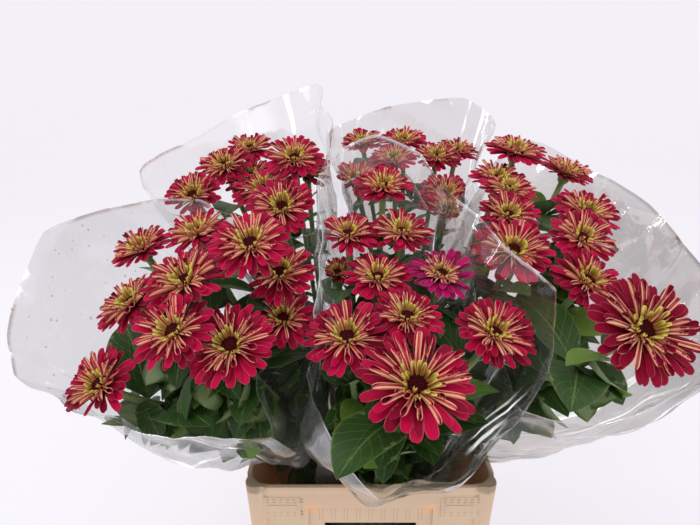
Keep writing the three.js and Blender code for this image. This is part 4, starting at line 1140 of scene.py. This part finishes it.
def low_leaves(lines, rng):
    """Leaves on the lowest stems of a bunch that leans out; they lie in the belly of its sleeve."""
    frames = []
    for line in sorted(lines, key=lambda line: on_stem(line, 0.5)[2])[:LOW_STEMS]:
        lean = line[-1] - line[0]
        way = math.atan2(lean[1], lean[0])
        for share in LOW_SHARES:
            for usual_rise in LOW_RISES:
                for _ in range(TRIES):
                    angle = way + (FRONT_WAY - way) * rng.uniform(*LOW_TURN)
                    rise = usual_rise + rng.uniform(-LOW_RISE_PLAY, LOW_RISE_PLAY)
                    roll = rng.uniform(-LOW_LEAN, LOW_LEAN) + math.pi * (rng.random() < FLIPPED)
                    lengths = LOW_LENGTHS * (AT_THE_ROOT - LESS_UPWARDS * share)
                    sizes = [blade(on_stem(line, share), angle, rise, roll, length) for length in lengths]
                    free = [found for found in sizes if is_free(found)]
                    if free:
                        frames.append(free[0])
                        break
    return frames


print("smaller leaves may be", SMALL_SHORTEST / MM, "to", LOW_LENGTHS[0] / MM, "mm long")

# %% Stems and leaves
for name, large in large_leaves.items():
    skin = Skin()
    rng = np.random.default_rng(400 + ord(name))
    lines = stems_of(skin, name)
    small = small_leaves(lines, rng, SMALL_SHARES[::2] if name in "bc" else SMALL_SHARES)
    low = low_leaves(lines, rng) if name in "ad" else []
    for frame_of_leaf in large:
        leaf(skin, rng, *frame_of_leaf, 13, 7)
    for frame_of_leaf in small + low:
        leaf(skin, rng, *frame_of_leaf, 8, 5)
    bunch = skin.build("stems_and_leaves_" + name, [leaf_green, stem_green])
    finished(bunch, "leaf_and_stem", "foliage_" + name)
    print("bunch", name, "small leaves", len(small), "low leaves", len(low))
print("foliage", triangles_in("stems"), "triangles")

# %% [markdown]
# ## Where the sleeves stand
#
# Flower film is thin and stiff: it stands in broad flat panels, gathered at the crate and open at the
# mouth. The solid gives a coarse net of each sleeve, five rings of fourteen points. The points come in no
# order, so the net is walked from the foot upwards by its edges, and each ring is turned until it lines up
# with the last.

# %% Reading the sleeves
FOOT_LEVEL, LEVELS, LEVEL_PLAY, RINGS = 80 * MM, (276 * MM, 304 * MM), 1e-5, 5


def sleeve_net(name):
    """The outer rings of a sleeve's solid, from the foot to the mouth, with their columns in line."""
    points, corners = solid_mesh("sleeve_" + name)
    links = neighbours(points, corners)
    ring = {i for i in range(len(points)) if abs(points[i, 2] - FOOT_LEVEL) < LEVEL_PLAY}
    rings, seen = [], set()
    for step in range(RINGS):
        rings.append(walk(ring, points))
        seen |= ring
        ring = set().union(*(links[i] for i in ring)) - seen
        if step < len(LEVELS):
            ring = {i for i in ring if abs(points[i, 2] - LEVELS[step]) < LEVEL_PLAY}
    net = [points[rings[0]]]
    for ring in rings[1:]:
        there = points[ring]
        turns = [np.roll(way, k, axis=0) for way in (there, there[::-1]) for k in range(len(there))]
        net.append(min(turns, key=lambda turn: np.linalg.norm(unit_gap(turn, net[-1]))))
    return np.array(net)


def unit_gap(one, other):
    return (one - one.mean(0)) / np.ptp(one[:, :2]) - (other - other.mean(0)) / np.ptp(other[:, :2])


def walk(ring, points):
    """The ring's points in the order in which they lie round it."""
    middle = np.mean([points[i] for i in ring], axis=0)
    return sorted(ring, key=lambda i: math.atan2(points[i, 1] - middle[1], points[i, 0] - middle[0]))


sleeves = {name: sleeve_net(name) for name in "abcde"}
print("sleeve rings", {name: net.shape for name, net in sleeves.items()})

# %% [markdown]
# ## Film finish
#
# Glass could stand for the film, but it would bend and darken the light at each of the many layers. Film
# shows as a faint tint and as bright mirrored lines, so the finish mixes clear and mirror. There is more
# mirror where the film turns away, at its folds and along its rim. Bright lines along the folds and up a
# few listed lines of each sleeve are painted highlights that glow white, and a dark reflection is painted
# low on the right of the film.

# %% Film finish
GLINT_FADE = 0.07


def film_finish(name, tint, veil, dark_reflection_strength, painted_glint_lines):
    """tint is what passes each face, veil how milky the sleeve is, and dark_reflection_strength how strong a
    dark reflection is, painted low on the right of the film. Each painted glint is a bright line up the
    sleeve that glows as a painted highlight: where round it, how wide, from and to what height, and how
    strong."""
    finish = Finish("clear film " + name)
    around, height, _ = finish.mark("place")
    fold, rim, _ = finish.mark("kind")
    place = finish.place()
    broad = finish.noise(place, 9.0, 2.0)
    fine = finish.noise(finish.stretch(place, (60.0, 60.0, 22.0)), 1.0, 4.0)
    normal = finish.bump(broad + fine * 0.25, 0.5, 0.005)
    facing = finish.node("ShaderNodeLayerWeight", {}, {"Blend": 0.5, "Normal": normal}, "Facing")
    mirror = facing**4.0 * 0.85 + 0.04
    haze = broad.ramp(0.45, 0.8) * veil + fine.ramp(0.6, 0.8) * 0.03
    # Painted highlights: the glint masks raise the mirror share and also glow white through the emission.
    mirror_and_painted_glint = fold.ramp(0.7, 1.0) * broad.ramp(0.4, 0.55)
    for at, width, low, high, strength in painted_glint_lines:
        line = 1 - (around - at + (broad - 0.5) * 0.02).size().ramp(width * 0.3, width)
        lasts = height.band(low, low + GLINT_FADE, high - GLINT_FADE, high)
        mirror_and_painted_glint = mirror_and_painted_glint + line * lasts * strength
    x, _, z = finish.axes(place)
    # Painted reflection: low on the right the film mirrors more and turns dark brown, as if a dark room stood
    # there.
    room = x.ramp(0.2, 0.36) * (1 - z.ramp(0.56, 0.68)) * (broad * 0.6 + 0.6) * dark_reflection_strength
    factor = mirror + haze + mirror_and_painted_glint * 0.6 + room + rim.ramp(0.4, 1.0) * 0.3
    pale = finish.mix(fine, (0.88, 0.87, 0.88), (1.0, 1.0, 1.0))
    # The emission makes the glint lines glow white: painted highlights.
    gloss = finish.principled({
        "Base Color": finish.mix(room * 3.0, pale, (0.36, 0.32, 0.29)), "Metallic": 0.85,
        "Roughness": fine * 0.1 + fold * 0.2 + 0.04, "Normal": normal,
        "Emission Color": finish.mix(mirror_and_painted_glint, (0.0, 0.0, 0.0), (1.0, 1.0, 1.0)), "Emission Strength": 0.7,
    })
    return finish.close(finish.see_through(factor, tint, gloss))


# For each sleeve: tint, veil, strength of the painted dark reflection, and its painted glint lines.
CLEARNESS = {
    "a": ((0.895, 0.897, 0.893), 0.01, 0.0, [(0.16, 0.006, 0.6, 0.82, 1.2), (0.1, 0.004, 0.5, 0.7, 1.0)]),
    "b": ((0.98, 0.978, 0.975), 0.03, 0.0, [(0.84, 0.06, 0.89, 1.2, 0.35), (0.775, 0.006, 0.8, 1.2, 0.8)]),
    "c": ((0.908, 0.897, 0.89), 0.05, 0.0, [(0.6, 0.005, 0.8, 1.2, 0.8)]),
    "d": ((0.915, 0.902, 0.892), 0.02, 0.25, [
        (0.355, 0.009, 0.54, 0.88, 1.5), (0.378, 0.004, 0.54, 0.8, 0.9), (0.305, 0.005, 0.64, 0.92, 0.8),
        (0.22, 0.004, 0.8, 0.98, 1.0)]),
    "e": ((0.955, 0.952, 0.95), 0.02, 0.0, [
        (0.92, 0.07, 0.9, 1.2, 0.3), (0.25, 0.006, 0.7, 0.9, 0.9), (0.268, 0.004, 0.7, 0.94, 0.9),
        (0.285, 0.005, 0.72, 0.9, 0.7)]),
}
films = {name: film_finish(name, *values) for name, values in CLEARNESS.items()}
print("film finishes", len(films))

# %% [markdown]
# ## Film sheets
#
# A cloth simulation could crumple the film, but the sheet would not end up where the solid says. So the net
# is drawn out to a fine grid, pushed in and out by long folds, pleats and small creases, and given an inner
# face.

# %% Film maker
COLUMNS, ROWS, RIM_ROWS = 14, [3, 3, 24, 24], (0.994, 1.0)
FILM_THICK, SMOOTH_SHARE, STRAIGHT_SHARE = 0.2 * MM, 0.55, 0.45
GATHERED_AT, STIFF_UP_TO, PLEATS, PLEAT_HEIGHT = 2.3, 1.2, (9, 14, 23), 2.2 * MM
CREASES, LONGEST_CREASE, SHORTEST_CREASE, CREASE_HEIGHT = 16, 0.16, 0.25, 0.02
LONG_FOLDS, FOLD_LEAN, FOLD_WIDTH, FOLD_PUSH = 12, 0.03, (5, 11), (1.2, 2.8)
FOLD_BEGIN, FOLD_END, FOLD_FADE = (1.2, 2.2), (2.8, 4.4), 3


def round_curve(ring, steps):
    """A closed curve through the ring's points, half way between straight sides and a smooth line."""
    before, after, beyond = np.roll(ring, 1, 0), np.roll(ring, -1, 0), np.roll(ring, -2, 0)
    t = (np.arange(steps) / steps)[None, :, None]
    p0, p1, p2, p3 = (p[:, None] for p in (before, ring, after, beyond))
    second, third = 2 * p0 - 5 * p1 + 4 * p2 - p3, 3 * p1 - p0 - 3 * p2 + p3
    smooth = 0.5 * (2 * p1 + (p2 - p0) * t + second * t**2 + third * t**3)
    plain = p1 + (p2 - p1) * t
    return (SMOOTH_SHARE * smooth + STRAIGHT_SHARE * plain).reshape(-1, 3)


def crease(points, rng, longest, count):
    """The height of a crumpled sheet: many folded planes, the long ones high and the short ones low."""
    height = np.zeros(points.shape[:-1])
    for _ in range(count):
        way = unit(rng.normal(size=3))
        length = longest * rng.uniform(SHORTEST_CREASE, 1.0)
        at = points @ way / length + rng.random()
        height += length * CREASE_HEIGHT * (np.abs((at % 1.0) - 0.5) * 4 - 1)
    return height


def folds(grid, heights, rng, count):
    """Long sharp folds up the sleeve: how near each point is to one, and how high it is pushed."""
    columns = grid.shape[1]
    around = np.arange(columns) / columns
    girth = np.linalg.norm(np.roll(grid, -1, 1) - grid, axis=2).sum(1)[:, None]
    near, push = np.zeros(grid.shape[:2]), np.zeros(grid.shape[:2])
    for _ in range(count):
        line = rng.random() + rng.uniform(-FOLD_LEAN, FOLD_LEAN) * (heights - 2.5)[:, None]
        wide = rng.uniform(*FOLD_WIDTH) * MM
        gap = np.abs((around[None] - line + 0.5) % 1 - 0.5) * girth / wide
        begin, end = rng.uniform(*FOLD_BEGIN), rng.uniform(*FOLD_END)
        lasts = np.clip((heights - begin) * FOLD_FADE, 0, 1) * np.clip((end - heights) * FOLD_FADE, 0, 1)
        shape = np.clip(1 - gap, 0, 1) * lasts[:, None]
        near = np.maximum(near, shape)
        push += shape * rng.choice([-1, 1]) * rng.uniform(*FOLD_PUSH) * MM
    return near, push


def film(name):
    rng = np.random.default_rng(40 + ord(name))
    net = sleeves[name]
    rings = [round_curve(ring, COLUMNS) for ring in net]
    rows, heights = [], []
    for k, steps in enumerate(ROWS):
        for t in np.arange(steps) / steps:
            rows.append(rings[k] * (1 - t) + rings[k + 1] * t)
            heights.append(k + t)
    for t in RIM_ROWS:
        rows.append(rings[-2] * (1 - t) + rings[-1] * t)
        heights.append(len(ROWS) - 1 + t)
    grid = np.array(rows)
    heights = np.array(heights)
    across = np.roll(grid, -1, 1) - np.roll(grid, 1, 1)
    rise = np.gradient(grid, axis=0)
    normal = unit(np.cross(across, rise))
    gather = np.clip(1.5 - np.abs(heights - GATHERED_AT), 0, 1)[:, None]
    count = grid.shape[1]
    around = np.arange(count) / count * 2 * np.pi
    pleats = np.zeros(count)
    for waves in PLEATS:
        pleats += np.abs(np.sin(around * waves / 2 + rng.uniform(0, 6))) * rng.uniform(0.5, 1.0)
    near, fold = folds(grid, heights, rng, LONG_FOLDS)
    pleat = gather * (pleats - pleats.mean())[None] * PLEAT_HEIGHT
    push = crease(grid, rng, LONGEST_CREASE, CREASES) + pleat + fold
    push *= np.clip(heights - STIFF_UP_TO, 0, 1)[:, None]
    outer = grid + push[..., None] * normal
    inner = outer - FILM_THICK * normal
    both_sides = np.concatenate([outer, inner[::-1]])
    quads = wall_faces(len(both_sides) + 1, count) % (len(both_sides) * count)
    place, kind = np.zeros((2, *outer.shape))
    place[..., 0], place[..., 1] = np.arange(count) / count, heights[:, None] / 4
    kind[..., 0], kind[..., 1] = near, (np.arange(len(heights)) >= len(heights) - 2)[:, None]
    skin = Skin()
    place, kind = (np.concatenate([marks, marks[::-1]]).reshape(-1, 3) for marks in (place, kind))
    skin.add(both_sides, quads, place=place, kind=kind)
    finished(skin.build("film_" + name, [films[name]], 40), "clear_film", "sleeve_" + name)


for name in "abcde":
    film(name)
print("film", triangles_in("film"), "triangles")

# %% [markdown]
# ## Water drops
#
# The left sleeve has been sprayed, and small drops hang on its film. Geometry Nodes scatter points over the
# faces of that sleeve that lean outwards, and set a flat drop on each, turned to the film.

# %% Drops
def drop_finish():
    finish = Finish("water drops")
    place = finish.place()
    grain = finish.noise(place, 400.0)
    facing = finish.node("ShaderNodeLayerWeight", {}, {"Blend": 0.5}, "Facing")
    colour = finish.mix(grain, (0.5, 0.5, 0.5), (0.75, 0.76, 0.78))
    gloss = finish.principled({"Base Color": colour, "Metallic": 0.6, "Roughness": 0.08})
    return finish.close(finish.see_through(facing**2.0 * 0.7 + 0.08, (0.9, 0.91, 0.92), gloss))


drops = drop_finish()
DROPS_IN_M2, DROP_RADIUS, SPRAYED_LEFT_OF, LEANS_LEFT = 1300.0, 0.0013, -0.24, -0.2


def drop_growth():
    growth = Growth("drops on a sheet")
    density = growth.size("Density", "Float", DROPS_IN_M2)
    size = growth.size("Drop", "Float", DROP_RADIUS)
    points = growth.tree.nodes.new("GeometryNodeDistributePointsOnFaces")
    points.inputs["Seed"].default_value = 5
    growth.tree.links.new(growth.start.outputs[0], points.inputs["Mesh"])
    growth.tree.links.new(density, points.inputs["Density"])
    ball = growth.node("GeometryNodeMeshUVSphere", {}, {"Segments": 8, "Rings": 5, "Radius": size})
    flat = growth.node("GeometryNodeTransform", {}, {"Geometry": ball, "Scale": (1.0, 1.2, 0.4)})
    grown = growth.node("FunctionNodeRandomValue", {"data_type": "FLOAT"}, {2: 0.45, 3: 1.3, "Seed": 3}, 1)
    stood = growth.node("GeometryNodeInstanceOnPoints", {}, {
        "Points": points.outputs["Points"], "Rotation": points.outputs["Rotation"], "Instance": flat,
        "Scale": grown,
    })
    growth.close(stood, drops)
    return growth


def sprayed_patch():
    """The faces of the left sleeve that lie far out to the left."""
    mesh = bpy.data.objects["film_a"].data.copy()
    form = bmesh.new()
    form.from_mesh(mesh)
    away = []
    for face in form.faces:
        if face.normal.x > LEANS_LEFT or face.calc_center_median().x > SPRAYED_LEFT_OF:
            away.append(face)
    bmesh.ops.delete(form, geom=away, context="FACES")
    form.to_mesh(mesh)
    form.free()
    return mesh


drop_mesh = drop_growth().grow("drops", {"Density": DROPS_IN_M2, "Drop": DROP_RADIUS}, sprayed_patch())
drop_points, drop_corners = loose_mesh(drop_mesh)
skin = Skin()
skin.add(drop_points, corners=drop_corners)
finished(skin.build("water_drops", [drops]), "water")
print("drops", made["water_drops"], "triangles")

# %% [markdown]
# ## The crate
#
# The crate is moulded in one piece of beige plastic. A mould leaves every edge a little round, and that is
# what catches the light, so the solid is taken over and its edges are bevelled. Handling leaves grey marks
# on the rim and on the tops of the corner posts, and dust gathers low on the walls.

# %% Crate finish
RIB_PITCH = 15 * MM


def crate_finish():
    finish = Finish("crate plastic")
    place = finish.place()
    x, y, z = finish.axes(place)
    cloud, grain = finish.noise(place, 7.0), finish.noise(place, 120.0, 5.0)
    scuff = finish.noise(finish.stretch(place, (40.0, 40.0, 260.0)), 1.0, 4.0)
    colour = finish.mix(cloud, shade(225, 198, 168), shade(212, 182, 150))
    corner = x.size().ramp(0.116, 0.14) * y.size().ramp(0.165, 0.19)
    top = z.ramp(0.284, 0.2985)
    worn = (top * (corner + 0.25) * (grain * 1.6 + 0.1)).ramp(0.15, 0.75)
    colour = finish.mix(worn * 0.85, colour, shade(160, 140, 118))
    colour = finish.mix(scuff.ramp(0.62, 0.78) * 0.3, colour, shade(206, 182, 160))
    low = 1 - z.ramp(0.0, 0.09)
    colour = finish.mix(low * grain.ramp(0.4, 0.7) * 0.45, colour, shade(182, 160, 138))
    # Painted light: an orange glow at the corners of the grip recess, as of light shining through the
    # plastic.
    painted_glow = z.band(0.25, 0.262, 0.27, 0.274) * x.size().band(0.05, 0.072, 0.075, 0.08)
    colour = finish.mix(painted_glow * 0.6, colour, shade(248, 186, 132))
    # Painted shade: darker lines beside each rib in the grip recess, where its relief would be shaded.
    painted_shade_beside_rib = 1 - (((x * (1 / RIB_PITCH)).part() - 0.5).size() - 0.36).size().ramp(0.0, 0.06)
    grip = z.band(0.243, 0.246, 0.263, 0.268) * (1 - x.size().ramp(0.066, 0.07))
    colour = finish.mix(painted_shade_beside_rib * grip * 0.55, colour, shade(176, 146, 118))
    return finish.close(finish.principled({
        "Base Color": colour, "Roughness": grain * 0.25 + 0.34, "Specular IOR Level": 0.4,
        "Normal": finish.bump(grain + scuff, 0.12, 0.0008),
        "Subsurface Weight": 0.12, "Subsurface Radius": (0.012, 0.006, 0.003), "Subsurface Scale": 1.0,
    }))


FLAT_ANGLE, BEVEL_ANGLE, SHARP_ANGLE = (math.radians(angle) for angle in (1, 35, 32))


def rounded_copy(name, new_name, width, material):
    """A solid with its doubles merged, its flat faces made whole and its edges bevelled."""
    points, corners = solid_mesh(name)
    mesh = bpy.data.meshes.new(new_name)
    mesh.from_pydata(points.tolist(), [], corners.tolist())
    form = bmesh.new()
    form.from_mesh(mesh)
    bmesh.ops.dissolve_limit(form, angle_limit=FLAT_ANGLE, verts=form.verts, edges=form.edges)
    form.to_mesh(mesh)
    form.free()
    piece = bpy.data.objects.new(new_name, mesh)
    scene.collection.objects.link(piece)
    bevel = piece.modifiers.new("mould rounding", "BEVEL")
    bevel.width, bevel.segments, bevel.angle_limit = width, 2, BEVEL_ANGLE
    bevel.use_clamp_overlap = True
    evaluated = piece.evaluated_get(bpy.context.evaluated_depsgraph_get())
    rounded = bpy.data.meshes.new_from_object(evaluated)
    piece.modifiers.remove(bevel)
    piece.data = rounded
    rounded.materials.clear()
    rounded.materials.append(material)
    rounded.shade_smooth()
    rounded.set_sharp_from_angle(angle=SHARP_ANGLE)
    return piece


plastic = crate_finish()
finished(rounded_copy("crate", "crate_tub", 0.7 * MM, plastic), "crate_plastic", "crate")
print("crate", made["crate_tub"], "triangles")

# %% [markdown]
# ## Studs and label strips on the crate
#
# Each short side carries two plates with rows of small studs above and below a bare strip. A grid of points
# sets one stud on each, which is what a mould maker's pattern does too.

# %% Studs
PLATE_ACROSS, PLATE_MIDDLE, CRATE_REACH = 106 * MM, 268 * MM, 200 * MM
CRATE_TAPER, CRATE_HEIGHT, RIM_REACH = 12 * MM, 300 * MM, 3 * MM
STUDS_IN_ROW, STUD_PITCH, STUD_RADIUS, STUD_STANDS_OUT = 6, 7 * MM, 0.0017, 1.0 * MM
STUD_ROWS, STUD_SHAPE = (-11.6, -7.4, 7.4, 11.6), np.array([1.15, 0.75, 0.85])


def stud_growth():
    growth = Growth("studs on a grid")
    columns = growth.size("Columns", "Int", STUDS_IN_ROW)
    pitch = growth.size("Pitch", "Float", STUD_PITCH)
    size = growth.size("Stud", "Float", STUD_RADIUS)
    step = growth.node("ShaderNodeCombineXYZ", {}, {0: pitch})
    line = growth.node("GeometryNodeMeshLine", {}, {"Count": columns, "Offset": step})
    dome = growth.node("GeometryNodeMeshUVSphere", {}, {"Segments": 8, "Rings": 4, "Radius": size})
    stood = growth.node("GeometryNodeInstanceOnPoints", {}, {"Points": line, "Instance": dome})
    growth.close(stood, plastic)
    return growth


def face_of_crate(z):
    """How far out the short side's wall lies at a height."""
    return CRATE_REACH - CRATE_TAPER * (1 - z / CRATE_HEIGHT) - RIM_REACH


stud_row = stud_growth().grow("studs", {"Columns": STUDS_IN_ROW, "Pitch": STUD_PITCH})
stud_points, stud_corners = loose_mesh(stud_row)
skin = Skin()
for face in (-1, 1):
    for end in (-1, 1):
        for row in STUD_ROWS:
            z = PLATE_MIDDLE + row * MM
            across = end * PLATE_ACROSS - (STUDS_IN_ROW - 1) / 2 * STUD_PITCH
            start = np.array([across, face * (face_of_crate(z) + STUD_STANDS_OUT), z])
            skin.add(stud_points * STUD_SHAPE + start, corners=stud_corners)
finished(skin.build("crate_studs", [plastic]), "crate_plastic")
print("studs", made["crate_studs"], "triangles")

# %% Label strips
STRIP_HALF_WIDTH, STRIP_HALF_HEIGHT, STRIP_CORNER = 18 * MM, 3.6 * MM, 1 * MM
STRIP_STANDS_OUT, STRIP_BACK = 1.9 * MM, 0.4 * MM


def slab(skin, low, high, cut):
    """A closed box with the four corners of its face cut off."""
    (x0, y0, z0), (x1, y1, z1) = low, high
    outline = [
        (x0 + cut, z0), (x1 - cut, z0), (x1, z0 + cut), (x1, z1 - cut),
        (x1 - cut, z1), (x0 + cut, z1), (x0, z1 - cut), (x0, z0 + cut),
    ]
    points = [(x, y, z) for y in (y0, y1) for x, z in outline]
    quads = [(k, 8 + k, 8 + (k + 1) % 8, (k + 1) % 8) for k in range(8)]
    ends = [(0, k, k + 1) for k in range(1, 7)] + [(8, 8 + k + 1, 8 + k) for k in range(1, 7)]
    skin.add(points, quads, ends)


skin = Skin()
for face in (-1, 1):
    for end in (-1, 1):
        wall = face_of_crate(PLATE_MIDDLE)
        near, far = sorted((face * (wall + STRIP_STANDS_OUT), face * (wall + STRIP_BACK)))
        low = (end * PLATE_ACROSS - STRIP_HALF_WIDTH, near, PLATE_MIDDLE - STRIP_HALF_HEIGHT)
        high = (end * PLATE_ACROSS + STRIP_HALF_WIDTH, far, PLATE_MIDDLE + STRIP_HALF_HEIGHT)
        slab(skin, low, high, STRIP_CORNER)
finished(skin.build("crate_label_strips", [plastic], 20), "crate_plastic")
print("strips", made["crate_label_strips"], "triangles")

# %% [markdown]
# ## Water
#
# The water creeps up a little where it meets the plastic, so its upper edge is rounded too. It could be
# made of glass, but only its surface shows between the stems, so clear and mirror are mixed as for the
# film.

# %% Water
def water_finish():
    finish = Finish("water")
    place = finish.place()
    ripple = finish.noise(place, 16.0, 2.0)
    normal = finish.bump(ripple, 0.25, 0.01)
    glance = finish.node("ShaderNodeFresnel", {}, {"IOR": 1.33, "Normal": normal})
    colour = finish.mix(ripple, (0.7, 0.76, 0.74), (0.86, 0.9, 0.88))
    gloss = finish.principled({"Base Color": colour, "Roughness": 0.04, "Normal": normal})
    return finish.close(finish.see_through(glance * 0.9 + 0.06, (0.8, 0.86, 0.82), gloss))


finished(rounded_copy("water", "water_pool", 0.8 * MM, water_finish()), "water", "water")
print("water", made["water_pool"], "triangles")

# %% [markdown]
# ## Rubber bands
#
# Each bunch is held by a rubber band that is wound round the stems twice. A torus could stand for a turn,
# but the turned shape is at hand already: a closed section, turned round the bunch, and stacked twice.

# %% Rubber bands
BAND_SIDES, BAND_SECTION_SIDES, BAND_SEAT = 40, 6, 0.985
BAND_HALF_DEPTH, BAND_HALF_HEIGHT, BAND_TURNS = 1.2 * MM, 1.15 * MM, (-1.3 * MM, 1.3 * MM)


def rubber_finish():
    finish = Finish("rubber")
    place = finish.place()
    grain = finish.noise(place, 300.0)
    colour = finish.mix(grain, shade(196, 150, 96), shade(172, 124, 74))
    return finish.close(finish.principled({
        "Base Color": colour, "Roughness": grain * 0.2 + 0.5, "Normal": finish.bump(grain, 0.2, 0.0003),
    }))


rubber = rubber_finish()
for name in "abcde":
    low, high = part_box("band_" + name)
    outer = (high.y - low.y) / 2 * BAND_SEAT
    turns = np.arange(BAND_SECTION_SIDES) / BAND_SECTION_SIDES * 2 * np.pi
    radii = outer - BAND_HALF_DEPTH + BAND_HALF_DEPTH * np.cos(turns)
    skin = Skin()
    for lift in BAND_TURNS:
        section = list(zip(radii, lift + BAND_HALF_HEIGHT * np.sin(turns)))
        points, quads = lathe([*section, section[0]], BAND_SIDES)
        whole = BAND_SECTION_SIDES * BAND_SIDES
        skin.add(points[:whole] + middle_of(low, high), quads % whole)
    finished(skin.build("rubber_band_" + name, [rubber], 60), "rubber_band", "band_" + name)
print("bands", triangles_in("rubber"), "triangles")

# %% Finish
print("triangles in all", triangles_in(""))
